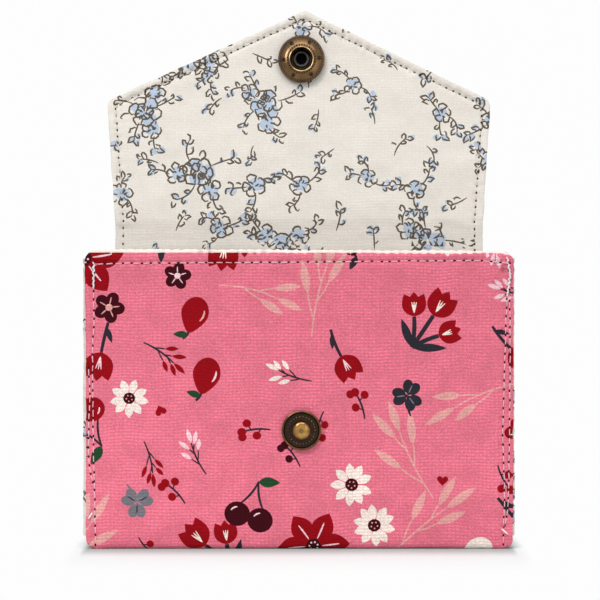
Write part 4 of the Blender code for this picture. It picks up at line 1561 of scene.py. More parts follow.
# %% Flap cloth
outer_flap_path, outer_flap_start = flap_path(-STRIP_THICK / 2, -WALL / 2)
outline = hand_cut(loop_of(flap_corners(outer_flap_start), FLAP_ROUNDS), [0.0], amount=0.12)
outline = outline - outward(outline, [0.0]) * 0.15
outline = -np.conj(outline)[::-1]
outer_flap_seam = -np.conj(flap_seam(outer_flap_start, 7))
flap_rows = np.arange(0.5, outer_flap_start + FLAP_FLAT + 1.5, 0.5)
flap_print = [(-points - 1j * back_length, ink) for points, ink in outer_print]
flap_cloth = cloth("flap_cloth", outline, upright(outer_flap_path, side=-1), OUTER, flap_print,
                   [outer_flap_seam], edge=0.6, border=FLAP_BORDER,
                   hem=(1.25, 1.2, outer_flap_start + 1.0, 300.0), cuts=[0.0], rows=flap_rows)
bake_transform(flap_cloth)
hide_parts("flap_cover", "fold_cover")

# %% [markdown]
# ## The lining
#
# The lining is one strip too: down inside the front, over the base, up the back, and over
# the mouth to the flap's point. It is a plain cloth, turned in against the outer one, so
# its edges are thin and sharp.

# %% Flap lining
inner_flap_path, inner_flap_start = flap_path(STRIP_THICK / 2, WALL / 2)
lining_outline = hand_cut(loop_of(flap_corners(inner_flap_start), FLAP_ROUNDS), [0.0], amount=0.12)
flap_lining_seam = flap_seam(inner_flap_start, 8)
inside_corners = [(-ROOM, 3.0), (-ROOM, STRIP_THICK), (ROOM, STRIP_THICK), (ROOM, WALL_END)]
back_lining_path = trace(inside_corners + into_strip(STRIP_THICK / 2), [1.0, 1.0, 2.0, 2.0])
back_lining_length = back_lining_path["length"][-1]
front_lining_low, front_lining_top = [corner[2] for corner in box_mm("front_lining")]
front_lining_length = front_lining_top - front_lining_low


def lining_from(start, plainer=True):
    """The lining's print from a place along the strip. Inside, small strokes are left out."""
    shapes = lining_print
    if plainer:
        shapes = [(points[::2] if len(points) > 9 else points, ink)
                  for points, ink in shapes
                  if np.ptp(points.real) + np.ptp(points.imag) > 1.5]
    return [(points - 1j * start, ink) for points, ink in shapes]


lining_rows = np.arange(0.5, inner_flap_start + FLAP_FLAT + 1.5, 0.5)
socket_spot = SNAP_X + 1j * (inner_flap_start + SOCKET_ALONG)
flap_lining_relief = sewn_relief(lining_outline, [flap_lining_seam], FLAP_BORDER,
                                 extra=pressed_at(socket_spot, 5.6, 0.25))
flap_lining = cloth("flap_lining_cloth", lining_outline, upright(inner_flap_path), LINING,
                    lining_from(front_lining_length + back_lining_length, False), [flap_lining_seam],
                    edge=0.25, border=FLAP_BORDER, cuts=[0.0], rows=lining_rows, relief=flap_lining_relief)
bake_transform(flap_lining)
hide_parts("flap_lining", "fold_lining")

# %% Back lining
INSIDE_HALF = HALF_WIDTH - 1.0
inside_top = distance_to(back_lining_path, (ROOM, TOP))
inside_outline = stepped(INSIDE_HALF, inside_top, back_lining_length)
inside_loop = hand_cut(loop_of(inside_outline, [0.8, 0.8, 2.0, 0.6, 0.01, 0.01, 0.6, 2.0]),
                       [back_lining_length], amount=0.1)
bends = [(0.5, 3.5), (11.0, 15.0), (inside_top - 2, back_lining_length - 0.2)]
inside_rows = np.concatenate([np.arange(start, end, 0.5) for start, end in bends])
# The flap's seam runs on down the fold strip.
strip_seam_x = flap_corners(inner_flap_start, FLAP_BORDER)[1][0]
strip_seams = [
    seam([(x, back_lining_length - 1.6), (x, inside_top - 1.0)], 10, FLAP_PITCH)
    for x in (-strip_seam_x, strip_seam_x)
]
back_lining = cloth("back_lining_cloth", inside_loop, upright(back_lining_path), LINING,
                    lining_from(front_lining_length), strip_seams, edge=0.2,
                    cuts=[back_lining_length], rows=inside_rows)
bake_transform(back_lining)
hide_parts("back_lining", "base_lining")

# %% Front lining
LINING_PROUD = 0.62
front_lining_path = trace(
    [(-ROOM, front_lining_top + LINING_PROUD), (-ROOM, 40.0), (-ROOM, front_lining_low)], [1.0],
)
front_lining_loop = loop_of(panel(INSIDE_HALF, front_lining_length), [2.0, 2.0, 0.5, 0.5])
front_lining_loop = scalloped(front_lining_loop * 0.997, 0.0, STITCH_PITCH, 0.14)
front_lining_loop = sloped(hand_cut(front_lining_loop, amount=0.1, seed=4.5), 0.0, -0.28) + 0.28j
# The strip along the lining's top, and the lining's back, take the paler edge cream: a painted highlight on
# the rolled edge.
painted_lit_edge = [(np.array([-70 - 2j, 70 - 2j, 70 + 1.3j, -70 + 1.3j]), "edge")]
inner_seam = seam([(-56.6, 3.6), (0, 3.5), (57.0, 3.6)], 9)
front_lining = cloth("front_lining_cloth", front_lining_loop, upright(front_lining_path), LINING,
                     lining_from(0.0) + painted_lit_edge, [inner_seam], edge=0.25, back_ground="edge")
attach(front_lining, "front_wall")
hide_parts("front_lining")

# %% [markdown]
# ## Gussets, divider and slip pocket
#
# Each side is closed by a strip of lining folded into a pleat, so that the mouth can
# open. Its outer folds stand a little proud of the front's edges, and show there as a
# cream line. The gusset is laid on a path seen from above.

# %% Gussets
GUSSET_LOW, GUSSET_TOP = [corner[2] for corner in box_mm("left_gusset")]
right_plan = [(54.8, -5.0), (62.5, -5.0), (51.6, 0.0), (62.5, 5.0), (54.8, 5.0)]
left_plan = [(-x, y) for x, y in right_plan[::-1]]
for name, plan, start in (("left_gusset", left_plan, 250.0), ("right_gusset", right_plan, 215.0)):
    plan_path = trace(plan, [0.6, 0.6, 0.6])
    width = plan_path["length"][-1]
    corners = [(0, GUSSET_LOW), (width, GUSSET_LOW), (width, GUSSET_TOP), (0, GUSSET_TOP)]
    outline = loop_of(corners, [0.5] * 4)
    outline = hand_cut(outline, amount=0.1, seed=len(name) + 0.5)
    turned_print = [(points * -1j, ink) for points, ink in lining_from(start)]
    hems = [seam([(0.8, GUSSET_TOP - 1.6), (width - 0.8, GUSSET_TOP - 1.6)], 12)]
    gusset = cloth(f"{name}_cloth", outline, pleated(plan_path), LINING, turned_print, hems,
                   edge=0.2, border=1.6, back_shapes=turned_print)
    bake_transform(gusset)
    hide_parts(name)

# %% Divider
(_, front, low), (divider_half, back, high) = box_mm("divider_cloth")
divider_path = trace([(front, low), (front, high), (back, high), (back, low)], [0.7, 0.7])
divider_length = divider_path["length"][-1]
divider_loop = loop_of(panel(divider_half, divider_length), [0.5] * 4)
hem_front = seam([(-50, divider_length / 2 - 3.6), (50, divider_length / 2 - 3.6)], 13)
hem_back = hem_front + 7.2j
fold_rows = np.arange(divider_length / 2 - 1.6, divider_length / 2 + 1.7, 0.4)
divider = cloth("divider_cloth_folded", divider_loop, upright(divider_path), LINING,
                lining_from(110.0), [hem_front, hem_back], thick=0.4, edge=0.2, rows=fold_rows,
                relief=sewn_relief(divider_loop, [hem_front, hem_back], 1.0, 0.07, 5.0))
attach(divider, "divider")
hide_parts("divider_cloth")

# %% Slip pocket
pocket_low, pocket_high = box_mm("slip_pocket")
pocket_path = trace([(ROOM - 0.25, pocket_low[2]), (ROOM - 0.4, 30.0), (ROOM - 0.65, pocket_high[2])], [1.0])
pocket_length = pocket_path["length"][-1]
pocket_half = pocket_high[0]
pocket_sew = pocket_half - 1.2
pocket_loop = hand_cut(loop_of(panel(pocket_half, pocket_length), [1.5, 1.5, 0.8, 0.8]), amount=0.12)
pocket_seams = [
    seam([(-pocket_sew, 1.2), (-pocket_sew, pocket_length - 0.6)], 14),
    seam([(pocket_sew, 1.2), (pocket_sew, pocket_length - 0.6)], 15),
    seam([(-pocket_sew, 1.2), (pocket_sew, 1.2)], 16),
    seam([(-pocket_sew, pocket_length - 4.6), (pocket_sew, pocket_length - 4.6)], 17),
]
slip_pocket = cloth("slip_pocket_cloth", pocket_loop, upright(pocket_path), LINING,
                    lining_from(60.0), pocket_seams, thick=0.4, edge=0.2, border=1.2)
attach(slip_pocket, "back_half")
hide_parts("slip_pocket")

# %% [markdown]
# ## Stitches
#
# A stitch is a short piece of thread that comes up at one needle hole and goes down at
# the next. There are some hundreds of them, so Geometry Nodes make them: each edge of a
# line through the needle holes becomes one small bowed tube, turned so that it lies along
# the edge with its bow away from the cloth. The snap's beads are made in the same way.

# %% The start and end of a tree


def new_tree(name, numbers):
    """A geometry tree with these number inputs, a seed and a finish, and its input node."""
    tree = bpy.data.node_groups.new(name, "GeometryNodeTree")
    kinds = {"Geometry": "Geometry", **dict.fromkeys(numbers, "Float"), "Seed": "Int", "Finish": "Material"}
    for port, kind in kinds.items():
        tree.interface.new_socket(port, in_out="INPUT", socket_type="NodeSocket" + kind)
    tree.interface.new_socket("Geometry", in_out="OUTPUT", socket_type="NodeSocketGeometry")
    return tree, add(tree, "NodeGroupInput")


def finish_tree(tree, shape, given):
    """Gives the tree's result smooth shading and its finish."""
    smooth = add(tree, "GeometryNodeSetShadeSmooth", {"Geometry": shape})
    painted = add(tree, "GeometryNodeSetMaterial", {"Geometry": smooth, "Material": given.outputs["Finish"]})
    add(tree, "NodeGroupOutput", {"Geometry": painted})
    print(tree.name, "has", len(tree.nodes), "nodes")
    return tree


# %% The stitch tree


def bowed_tube(tree, given):
    """One stitch, 1 long along x: a tube along a bowed line whose ends dip into the cloth."""
    dip = add(tree, "ShaderNodeMath", [given.outputs["Bow"], -0.35], operation="MULTIPLY")
    first = add(tree, "ShaderNodeCombineXYZ", {0: -0.5, 2: dip})
    first_pull = add(tree, "ShaderNodeCombineXYZ", {0: -0.42, 2: given.outputs["Bow"]})
    last_pull = add(tree, "ShaderNodeCombineXYZ", {0: 0.42, 2: given.outputs["Bow"]})
    last = add(tree, "ShaderNodeCombineXYZ", {0: 0.5, 2: dip})
    thread = add(
        tree, "GeometryNodeCurvePrimitiveBezierSegment",
        {"Resolution": 8, "Start": first, "Start Handle": first_pull, "End Handle": last_pull, "End": last},
    )
    share = add(tree, "GeometryNodeSplineParameter")
    with_along = add(tree, "GeometryNodeStoreNamedAttribute",
                     {"Geometry": thread, "Name": "along", "Value": share.outputs["Factor"]},
                     data_type="FLOAT", domain="POINT")
    circle = add(tree, "GeometryNodeCurvePrimitiveCircle",
                 {"Resolution": 6, "Radius": given.outputs["Thickness"]}, mode="RADIUS")
    with_around = add(tree, "GeometryNodeStoreNamedAttribute",
                      {"Geometry": circle, "Name": "around", "Value": share.outputs["Factor"]},
                      data_type="FLOAT", domain="POINT")
    return add(tree, "GeometryNodeCurveToMesh",
               {"Curve": with_along, "Profile Curve": with_around, "Fill Caps": True})


def stitch_tree():
    tree, given = new_tree("sewn_line", ["Thickness", "Bow", "Share"])
    ends = add(tree, "GeometryNodeInputMeshEdgeVertices")
    way = add(tree, "ShaderNodeVectorMath", [ends.outputs["Position 2"], ends.outputs["Position 1"]],
              operation="SUBTRACT")
    up = add(tree, "GeometryNodeInputNamedAttribute", {"Name": "seam_up"}, data_type="FLOAT_VECTOR")
    on_edge = add(tree, "GeometryNodeCaptureAttribute", {"Geometry": given.outputs["Geometry"]},
                  domain="EDGE")
    on_edge.capture_items.new("VECTOR", "Way")
    on_edge.capture_items.new("VECTOR", "Up")
    tree.links.new(way.outputs[0], on_edge.inputs["Way"])
    tree.links.new(up.outputs["Attribute"], on_edge.inputs["Up"])
    spots = add(tree, "GeometryNodeMeshToPoints", {"Mesh": on_edge.outputs["Geometry"]}, mode="EDGES")
    turn = add(tree, "FunctionNodeAxesToRotation",
               {"Primary Axis": on_edge.outputs["Way"], "Secondary Axis": on_edge.outputs["Up"]},
               primary_axis="X", secondary_axis="Z")
    chance = add(tree, "FunctionNodeRandomValue", {2: -0.07, 3: 0.07, "Seed": given.outputs["Seed"]},
                 data_type="FLOAT")
    skew = add(tree, "ShaderNodeCombineXYZ", {"Z": chance.outputs[1]})
    skew_turn = add(tree, "FunctionNodeEulerToRotation", [skew])
    turned_way = add(tree, "FunctionNodeRotateRotation", {"Rotation": turn, "Rotate By": skew_turn},
                     rotation_space="LOCAL")
    length = add(tree, "ShaderNodeVectorMath", [on_edge.outputs["Way"]], operation="LENGTH")
    reach = add(tree, "ShaderNodeMath", [length.outputs["Value"], given.outputs["Share"]],
                operation="MULTIPLY")
    plump = add(tree, "FunctionNodeRandomValue", {2: 0.85, 3: 1.15, "Seed": given.outputs["Seed"]},
                data_type="FLOAT")
    size = add(tree, "ShaderNodeCombineXYZ", [reach, plump.outputs[1], plump.outputs[1]])
    tube = bowed_tube(tree, given)
    placed = add(tree, "GeometryNodeInstanceOnPoints", {"Points": spots, "Instance": tube,
                 "Rotation": turned_way, "Scale": size})
    real = add(tree, "GeometryNodeRealizeInstances", {"Geometry": placed})
    return finish_tree(tree, real, given)


sewn_line = stitch_tree()

# %% [markdown]
# The same helper runs any of these trees: it makes the small mesh that the tree starts
# from, sets the inputs by their sockets' identifiers, and keeps the result as plain mesh.

# %% Running a tree


def grow(name, tree, base, settings):
    """Runs a geometry tree on a base mesh and keeps the result as a plain mesh object."""
    source = new_object(name + "_source", base)
    modifier = source.modifiers.new("grow", "NODES")
    modifier.node_group = tree
    for item in tree.interface.items_tree:
        if item.in_out == "INPUT" and item.name in settings:
            modifier[item.identifier] = settings[item.name]
    depsgraph = bpy.context.evaluated_depsgraph_get()
    mesh = bpy.data.meshes.new_from_object(source.evaluated_get(depsgraph))
    bpy.data.objects.remove(source)
    mesh.name = name
    print(name, len(mesh.polygons), "faces")
    return new_object(name, mesh)


# %% [markdown]
# The thread's two plies show as a fine spiral: a sine of the place along and around it.

# %% Thread


def thread_material(name, hex_value, dark_hex):
    """Spun polyester thread: two plies twisted, a little glossier than the cloth."""
    made, tree = new_material(name)
    along_it = add(tree, "ShaderNodeAttribute", attribute_name="along")
    around_it = add(tree, "ShaderNodeAttribute", attribute_name="around")
    turns = add(tree, "ShaderNodeMath", [along_it.outputs["Fac"], 5.0, around_it.outputs["Fac"]],
                operation="MULTIPLY_ADD")
    angle = add(tree, "ShaderNodeMath", [turns, 4 * pi], operation="MULTIPLY")
    ply = add(tree, "ShaderNodeMath", [angle], operation="SINE")
    share = add(tree, "ShaderNodeMapRange", {"Value": ply, "From Min": -1.0})
    place = add(tree, "ShaderNodeTexCoord")
    fuzz = add(tree, "ShaderNodeTexNoise",
               {"Vector": place.outputs["Object"], "Scale": 900.0, "Detail": 2.0})
    share = add(tree, "ShaderNodeMath", [fuzz, 0.5, share], operation="MULTIPLY_ADD")
    # The darker tone in the groove between the two plies is painted shade.
    tone = add(tree, "ShaderNodeMix", {"Factor": share, 6: colour(dark_hex), 7: colour(hex_value)},
               data_type="RGBA")
    relief = add(tree, "ShaderNodeBump", {"Height": ply, "Strength": 0.5, "Distance": 0.05 * MM})
    shader = add(tree, "ShaderNodeBsdfPrincipled",
                 {"Base Color": tone.outputs[2], "Roughness": 0.62, "Sheen Weight": 0.15, "Normal": relief})
    return finish_material(made, shader)


pink_thread = thread_material("pale_pink_sewing_thread", 0xFBD2DA, 0xDF97A8)
white_thread = thread_material("white_sewing_thread", 0xFFFFFF, 0xF8E6EA)
cream_thread = thread_material("cream_sewing_thread", 0xF0EADF, 0xCFC7B8)


# %% [markdown]
# The stitches are laid with the same functions as their cloth, so that each end dips into
# its needle hole. The cloth's upward direction goes along as an attribute of each hole.

# %% Stitches along a seam


def stitches(name, on, seams, thread, thickness=0.15, bow=0.3, share=0.84, lift=0.0):
    """Sews lines of holes on a laid cloth. Returns one mesh of all their stitches."""
    place, relief = laid[on]
    points, ups, edges = [], [], []
    for holes in seams:
        start = sum(len(part) for part in points)
        rise = relief(holes) + 0.1 + lift
        low = place(holes.real, holes.imag, rise)
        high = place(holes.real, holes.imag, rise + 1)
        points.append(low)
        ups.append(high - low)
        edges += [(start + i, start + i + 1) for i in range(len(holes) - 1)]
    base = bpy.data.meshes.new(name + "_base")
    base.from_pydata([tuple(p * MM) for p in np.concatenate(points)], edges, [])
    up = base.attributes.new("seam_up", "FLOAT_VECTOR", "POINT")
    up.data.foreach_set("vector", np.concatenate(ups).astype(np.float32).ravel())
    sizes = {"Thickness": thickness * MM, "Bow": bow * MM, "Share": share}
    return grow(name, sewn_line, base, {**sizes, "Seed": len(name), "Finish": thread})


# %% Sew the pieces
front_thread = stitches("front_stitches", "front_cloth", front_seams, pink_thread, share=0.72)
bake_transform(front_thread)


def back_stitched(start, end, count, swing=0.27):
    """The holes of a line sewn over twice, whose stitches lie crosswise by turns."""
    share = np.linspace(0, 1, count)
    line = start + (end - start) * share
    side = 1j * (end - start) / abs(end - start)
    return line + side * swing * np.where(np.arange(count) % 2, 1, -1) * (0.7 + 0.3 * np.sin(5 * share))


# %% Thread ends that are sewn over twice
tie_offs = [
    back_stitched(57.8 + 81.0j, 58.7 + 76.2j, 8),
    back_stitched(58.7 + 76.2j, 57.8 + 70.3j, 10),
    back_stitched(-57.0 + 79.6j, -57.1 + 72.4j, 11),
    np.array([56.3 + 5.6j, 57.9 + 4.3j]),
    np.array([-57.4 + 10.1j, -58.4 + 8.6j]),
]
tie_offs = [holes + 1j * FRONT_START for holes in tie_offs]
tie_thread = stitches("tie_off_stitches", "front_cloth", tie_offs, white_thread, thickness=0.22, bow=0.2,
                      share=1.05, lift=0.16)
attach(tie_thread, "front_wall")

# %% The other seams
back_thread = stitches("back_stitches", "back_cloth", back_seams, pink_thread)
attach(back_thread, "back_half")
flap_outside = stitches("flap_outside_stitches", "flap_cloth", [outer_flap_seam[3:-3]], pink_thread)
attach(flap_outside, "flap")
flap_inside = stitches("flap_lining_stitches", "flap_lining_cloth", [flap_lining_seam], cream_thread,
                       thickness=0.12, share=0.62)
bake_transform(flap_inside)
front_inside = stitches("front_lining_stitches", "front_lining_cloth", [inner_seam], cream_thread,
                        thickness=0.13)
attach(front_inside, "front_wall")
divider_thread = stitches("divider_stitches", "divider_cloth_folded", [hem_front, hem_back], cream_thread,
                          thickness=0.13)
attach(divider_thread, "divider")
pocket_thread = stitches("pocket_stitches", "slip_pocket_cloth", pocket_seams, cream_thread, thickness=0.13)
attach(pocket_thread, "back_half")

# %% [markdown]
# ## The ring snap
#
# Each half is a few turned brass parts. Brass snaps of this finish are plated dark and
# then tumbled, so the brass shows on the high edges and the hollows stay nearly black.
# The helper turns a profile round the snap's axis and stores, for each ring of points,
# how worn it is: the material mixes dark and bright brass by that number. On the stud's
# ball it is also painted reflection, darker towards the ball's rim and at its centre, and in
# the barrel's well it is painted shade.

# %% Turned metal
TURN_STEPS = 96


def tube_faces(rows, steps, closed=True):
    """The quads between rows of points. Each row is a ring of that many steps."""
    faces = []
    for i in range(rows if closed else rows - 1):
        a, b = i * steps, (i + 1) % rows * steps
        faces += [(a + j, a + (j + 1) % steps, b + (j + 1) % steps, b + j) for j in range(steps)]
    return faces


def metal_shape(name, points, faces, wear_and_shade_values, finish):
    """A closed metal shape from points in mm. The values say how bright each point is: worn on high edges,
    and on the stud's ball and in the barrel painted reflection and shade.
    """
    mesh = bpy.data.meshes.new(name)
    mesh.from_pydata([tuple(point * MM) for point in points], [], faces)
    worn_and_shaded = mesh.attributes.new("rub", "FLOAT", "POINT")
    worn_and_shaded.data.foreach_set("value", wear_and_shade_values)
    bm = bmesh.new()
    bm.from_mesh(mesh)
    bmesh.ops.recalc_face_normals(bm, faces=bm.faces)
    bm.to_mesh(mesh)
    bm.free()
    return finished(name, mesh, finish)


def turned(name, profile, centre, up, out, finish, lobes=0.0, lean=0.0):
    """A ring turned from a closed profile of (radius, height, rub) points, in mm.

    lobes is how much six flats pull in the profile's radius, for the crimped barrel. lean
    is how far the axis sinks per height, for a snap that sits askew on soft cloth.
    """
    angles = spokes(TURN_STEPS)
    across = np.array([1.0, 0, 0])
    upward, outward_way = np.array([0, *up]), np.array([0, *out])
    middle = np.array([SNAP_X, *centre])
    points, wear_and_shade_values = [], []
    for radius, height, rub in profile:
        reach = radius * (1 + lobes * np.cos(6 * angles))[:, None]
        ring = middle + reach * (np.cos(angles)[:, None] * across + np.sin(angles)[:, None] * upward)
        points.append(ring + height * (outward_way - lean * upward))
        wear_and_shade_values += [rub] * TURN_STEPS
    return metal_shape(name, np.concatenate(points), tube_faces(len(profile), TURN_STEPS), wear_and_shade_values, finish)


def softened(corners, rounds):
    """Rounds a closed profile's corners. Each corner is (radius, height, rub)."""
    loop = [complex(*corner[:2]) for corner in corners]
    profile = []
    for i, (corner, radius) in enumerate(zip(loop, rounds)):
        arc = rounded(loop[i - 1], corner, loop[(i + 1) % len(loop)], radius)
        profile += [(point.real, point.imag, corners[i][2]) for point in arc[::2]]
    return profile


# %% [markdown]
# Antique brass is brass under a brown-black plating. The metal keeps the default IOR;
# what the eye reads is the change from dull dark hollows to glossier yellow edges, and a
# thin clear lacquer over the brass that gives even the dark places a soft highlight. The
# spring and the barrel are bare steel, so they have no lacquer.

# %% Brass and steel


def brass(name, worn_hex, bright_hex, mid_hex, dark_hex, rough, lacquer=0.0):
    made, tree = new_material(name)
    worn_and_shaded = add(tree, "ShaderNodeAttribute", attribute_name="rub")
    place = add(tree, "ShaderNodeTexCoord")
    grime = add(tree, "ShaderNodeTexNoise",
                {"Vector": place.outputs["Object"], "Scale": 650.0, "Detail": 4.0, "Roughness": 0.6})
    cloudy = add(tree, "ShaderNodeTexNoise",
                 {"Vector": place.outputs["Object"], "Scale": 210.0, "Detail": 2.0})
    share = add(tree, "ShaderNodeMath", [grime, 0.5, -0.25], operation="MULTIPLY_ADD")
    share = add(tree, "ShaderNodeMath", [cloudy, 0.6, share], operation="MULTIPLY_ADD")
    share = add(tree, "ShaderNodeMath", [share, -0.3], operation="ADD")
    share = add(tree, "ShaderNodeMath", [worn_and_shaded.outputs["Fac"], share], operation="ADD")
    tone = add(tree, "ShaderNodeValToRGB", {"Fac": share})
    ramp = tone.color_ramp
    ramp.elements[0].position, ramp.elements[0].color = 0.08, colour(dark_hex)
    ramp.elements[1].position, ramp.elements[1].color = 1.0, colour(worn_hex)
    for stop, hex_value in ((0.45, mid_hex), (0.8, bright_hex)):
        ramp.elements.new(stop).color = colour(hex_value)
    shine = add(tree, "ShaderNodeMapRange", {"Value": share, "To Min": rough + 0.22, "To Max": rough})
    scratch = add(tree, "ShaderNodeBump", {"Height": grime, "Strength": 0.25, "Distance": 0.04 * MM})
    coat = {"Coat Weight": lacquer, "Coat IOR": 1.8, "Coat Roughness": 0.1}
    metal = {"Base Color": tone, "Metallic": 1.0, "Roughness": shine, "Normal": scratch, **coat}
    shader = add(tree, "ShaderNodeBsdfPrincipled", metal)
    return finish_material(made, shader)


antique_brass = brass("antique_plated_brass", 0xC0A074, 0x755833, 0x553D23, 0x100A05, 0.13, 0.2)
rubbed_brass = brass("rubbed_antique_brass", 0xB48D4E, 0x8E6632, 0x5A3C1E, 0x2B1D13, 0.1, 0.12)
dark_steel = brass("darkened_spring_steel", 0x857F78, 0x5E5851, 0x37322D, 0x060505, 0.35)

# %% [markdown]
# A beaded ring is one tiny round bead repeated along a circle. The tree takes the circle
# as a mesh, so the same one serves both halves of the snap.

# %% Beads


def bead_tree():
    tree, given = new_tree("beaded_ring", ["Radius", "Rub"])
    bead = add(tree, "GeometryNodeMeshIcoSphere", {"Radius": given.outputs["Radius"], "Subdivisions": 2})
    spots = add(tree, "GeometryNodeMeshToPoints", {"Mesh": given.outputs["Geometry"]}, mode="VERTICES")
    size = add(tree, "FunctionNodeRandomValue", {2: 0.9, 3: 1.08, "Seed": given.outputs["Seed"]},
               data_type="FLOAT")
    placed = add(tree, "GeometryNodeInstanceOnPoints",
                 {"Points": spots, "Instance": bead, "Scale": size.outputs[1]})
    real = add(tree, "GeometryNodeRealizeInstances", {"Geometry": placed})
    worn = add(tree, "GeometryNodeStoreNamedAttribute",
               {"Geometry": real, "Name": "rub", "Value": given.outputs["Rub"]}, data_type="FLOAT",
               domain="POINT")
    return finish_tree(tree, worn, given)


beaded_ring = bead_tree()


def beads(name, rings, centre, up, out, bead, rub, metal, lean=0.0):
    """Rings of beads. Each ring is (radius, height, how many, first angle)."""
    spots = []
    for radius, height, count, first in rings:
        for angle in spokes(count, first):
            rise = radius * sin(angle) - lean * height
            yz = np.array(centre) + rise * np.array(up) + height * np.array(out)
            spots.append(tuple(np.array([SNAP_X + radius * cos(angle), *yz]) * MM))
    base = bpy.data.meshes.new(name + "_base")
    base.from_pydata(spots, [], [])
    return grow(name, beaded_ring, base, {"Radius": bead * MM, "Rub": rub, "Seed": 3, "Finish": metal})


# %% Socket half, on the flap
METAL_GAP = 0.25
socket_centre = FRONT_FOLD + SOCKET_ALONG * flap_up + (WALL / 2 + METAL_GAP) * flap_in
# In the photo the soft flap faces the camera more squarely than this flat one does. So the
# socket is drawn a little longer up the flap, and its axis sinks, to look as round.
SOCKET_LEAN = 0.33
SOCKET_UP = 1.09 * flap_up
SOCKET_PROFILE = [(1.9, 0.0, 0.1), (6.35, 0.0, 0.1), (6.8, 0.45, 0.35), (6.74, 0.95, 0.45),
                  (6.45, 1.45, 0.5), (6.0, 1.85, 0.52), (5.4, 2.25, 0.55), (4.8, 2.55, 0.58),
                  (4.2, 2.72, 0.55), (3.76, 2.77, 0.35), (3.64, 2.92, 0.78), (3.46, 2.99, 0.9),
                  (3.28, 2.92, 0.7), (3.2, 2.75, 0.1), (3.2, 2.5, 0.0), (3.6, 2.35, 0.0), (3.6, 0.5, 0.0),
                  (1.9, 0.5, 0.0)]
socket_rounds = [0.02, 0.2, 0.2, 0.2, 0.3, 0.4, 0.5, 0.5, 0.3, 0.06, 0.08, 0.1, 0.1, 0.05, 0.04, 0.04, 0.1,
                 0.02]
socket = turned("snap_socket_ring", softened(SOCKET_PROFILE, socket_rounds), socket_centre, SOCKET_UP,
                flap_in, antique_brass, lean=SOCKET_LEAN)
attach(socket, "flap")
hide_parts("snap_socket")

# The dies leave two rings of small dark pits, and six plain marks of seven pits between them.
PIT = 0.22
pits = [(6.08, 1.8, 50, 0.0), (4.08, 2.76, 33, 0.0)]
pits += [(5.2, 2.37, 6, turn) for turn in (0.05, 0.13, -0.03)]
pits += [(5.6, 2.16, 6, turn) for turn in (0.09, 0.01)]
pits += [(4.8, 2.57, 6, turn) for turn in (0.1, 0.0)]
socket_beads = beads("snap_socket_beads", pits, socket_centre, SOCKET_UP, flap_in, PIT, -0.2, antique_brass,
                     SOCKET_LEAN)
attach(socket_beads, "flap")

# %% Barrel through the socket
FLARE_TOP = 1.05
# The barrel is closed by a floor just above the cloth, and its bore and floor are set near black: painted
# shade down the socket's well.
flare_profile = [(0.02, -0.1, -0.4), (1.65, -0.1, -0.3), (1.65, FLARE_TOP - 0.3, 0.0),
                 (2.3, FLARE_TOP - 0.3, 0.1), (2.36, FLARE_TOP - 0.1, 0.5), (2.05, FLARE_TOP, 0.65),
                 (1.55, FLARE_TOP - 0.12, 0.3), (1.42, FLARE_TOP - 0.5, -0.4), (1.42, 0.2, -0.4),
                 (0.02, 0.2, -0.4)]
flare_rounds = [0.005, 0.02, 0.03, 0.03, 0.08, 0.15, 0.08, 0.1, 0.03, 0.005]
flare = turned("snap_barrel", softened(flare_profile, flare_rounds), socket_centre, SOCKET_UP, flap_in,
               dark_steel, 0.015, SOCKET_LEAN)
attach(flare, "flap")

# %% Cap, outside on the flap
cap_centre = FRONT_FOLD + SOCKET_ALONG * flap_up - (WALL / 2 + METAL_GAP) * flap_in
cap_profile = [(0.05, 0.0, 0.1), (6.0, 0.0, 0.1), (6.4, 0.35, 0.6), (6.3, 0.75, 0.75), (5.95, 0.86, 0.6),
               (5.6, 0.78, 0.1), (5.3, 0.95, 0.35), (4.4, 1.25, 0.55), (2.9, 1.44, 0.6), (0.8, 1.5, 0.65),
               (0.05, 1.5, 0.65)]
cap_rounds = [0.01, 0.15, 0.15, 0.12, 0.12, 0.1, 0.1, 0.6, 0.8, 0.5, 0.01]
cap = turned("snap_cap_dome", softened(cap_profile, cap_rounds), cap_centre, flap_up, -flap_in,
             antique_brass)
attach(cap, "flap")
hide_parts("snap_cap")

# %% Spring in the socket
SPRING_MIDDLE, SPRING_HEIGHT, WIRE = 3.05, 2.0, 0.25


def spring_wire(steps=80, sides=12, slit=0.13):
    """An open ring of round wire, which grips the stud's ball."""
    points = []
    for i in range(steps + 1):
        angle = pi / 2 + slit + (tau - 2 * slit) * i / steps
        share = min(i, steps - i) / 3
        for j in range(sides):
            around = tau * j / sides
            wire = WIRE * min(1.0, 0.7 + 0.3 * share)
            radius, height = SPRING_MIDDLE + wire * cos(around), SPRING_HEIGHT - WIRE + wire * sin(around)
            yz = socket_centre + (radius * sin(angle) - SOCKET_LEAN * height) * flap_up + height * flap_in
            points.append(np.array([SNAP_X + radius * cos(angle), *yz]))
    faces = tube_faces(steps + 1, sides, closed=False)
    faces.append(tuple(range(sides)))
    faces.append(tuple(steps * sides + j for j in range(sides)))
    return points, faces


points, faces = spring_wire()
SPRING_RUB = 0.3
spring = metal_shape("snap_spring_wire", points, faces, [SPRING_RUB] * len(points), dark_steel)
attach(spring, "flap")
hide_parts("snap_spring")

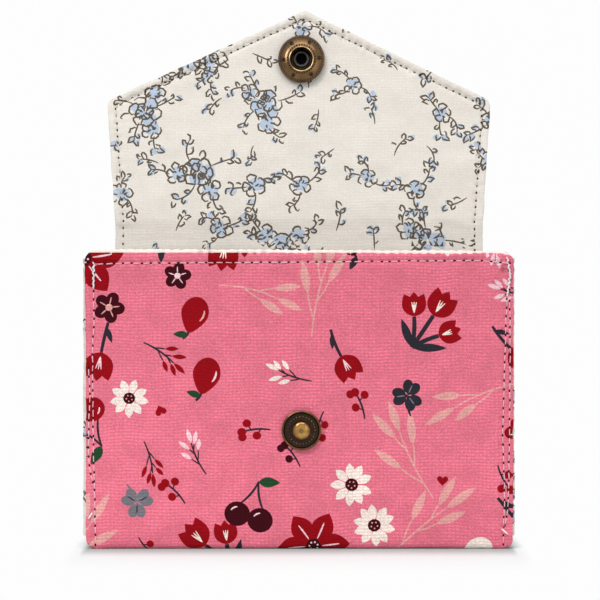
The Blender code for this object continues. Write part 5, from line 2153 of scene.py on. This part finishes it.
# %% Stud half, on the front
stud_up, stud_out = np.array([0.0, 1.0]), np.array([-1.0, 0.0])
stud_centre = np.array([-FACE - METAL_GAP, STUD_Z])
stud_profile = [(1.75, 0.0, 0.1), (5.3, 0.0, 0.2), (5.55, 0.3, 0.45), (5.48, 0.64, 0.48), (5.25, 0.78, 0.5),
                (4.98, 0.66, 0.2), (4.7, 0.35, 0.0), (2.35, 0.35, 0.05), (2.0, 0.5, 0.05), (2.0, 1.0, 0.15)]
ball_rounds = [0.02, 0.1, 0.1, 0.1, 0.12, 0.1, 0.1, 0.1, 0.1, 0.05]
stud_points = softened(stud_profile, ball_rounds)
BALL_RADIUS, BALL_MIDDLE, BALL_HALF = 2.58, 2.0, 1.0
# The ball's numbers are painted reflection: darker towards its rim, brightest on its front, darker again at
# its very centre.
for step in range(15):
    angle = radians(-29 + (89.5 + 29) * step / 14)
    rub = -0.25 + 1.2 * min(1.0, step / 9.5) - 0.2 * (step > 12)
    stud_points.append((BALL_RADIUS * cos(angle), BALL_MIDDLE + BALL_HALF * sin(angle), rub))
stud_points += [(0.02, 2.9, 0.1), (0.02, 2.0, 0.0), (1.5, 1.6, 0.0), (1.75, 1.3, 0.0)]
stud = turned("snap_stud_ball", stud_points, stud_centre, stud_up, stud_out, rubbed_brass)
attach(stud, "front_wall")
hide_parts("snap_stud")
stud_beads = beads("snap_stud_beads", [(3.75, 0.36, 26, 0.0)], stud_centre, stud_up, stud_out, 0.3, 0.5,
                   rubbed_brass)
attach(stud_beads, "front_wall")

# %% [markdown]
# ## Hidden layers
#
# The stiffening between the cloths is a bonded, non-woven sheet: white fibres pressed
# flat in all directions. It keeps its solid's shape, with a fibrous material.

# %% Interlining and post
HIDDEN = ("front_stiffener", "back_stiffener", "flap_stiffener", "divider_core")
interlining, tree = new_material("bonded_interlining")
place = add(tree, "ShaderNodeTexCoord")
fibres = add(
    tree, "ShaderNodeTexNoise",
    {"Vector": place.outputs["Object"], "Scale": 1400.0, "Detail": 5.0, "Roughness": 0.7, "Distortion": 2.0},
)
tone = add(tree, "ShaderNodeMix", {"Factor": fibres, 6: colour(0xD2D1CC), 7: colour(0xEFEEEA)},
           data_type="RGBA")
relief = add(tree, "ShaderNodeBump", {"Height": fibres, "Strength": 0.6, "Distance": 0.1 * MM})
shader = add(tree, "ShaderNodeBsdfPrincipled",
             {"Base Color": tone.outputs[2], "Roughness": 0.9, "Normal": relief})
finish_material(interlining, shader)
for node, finish in [(node, interlining) for node in HIDDEN] + [("snap_post", antique_brass)]:
    for slot in bpy.data.objects[node].material_slots:
        slot.material = finish

# %% The sizes of the solids and of the finished scene
visual_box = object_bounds()
[[list(map(float, corner)) for corner in box] for box in (cad_box, visual_box)]
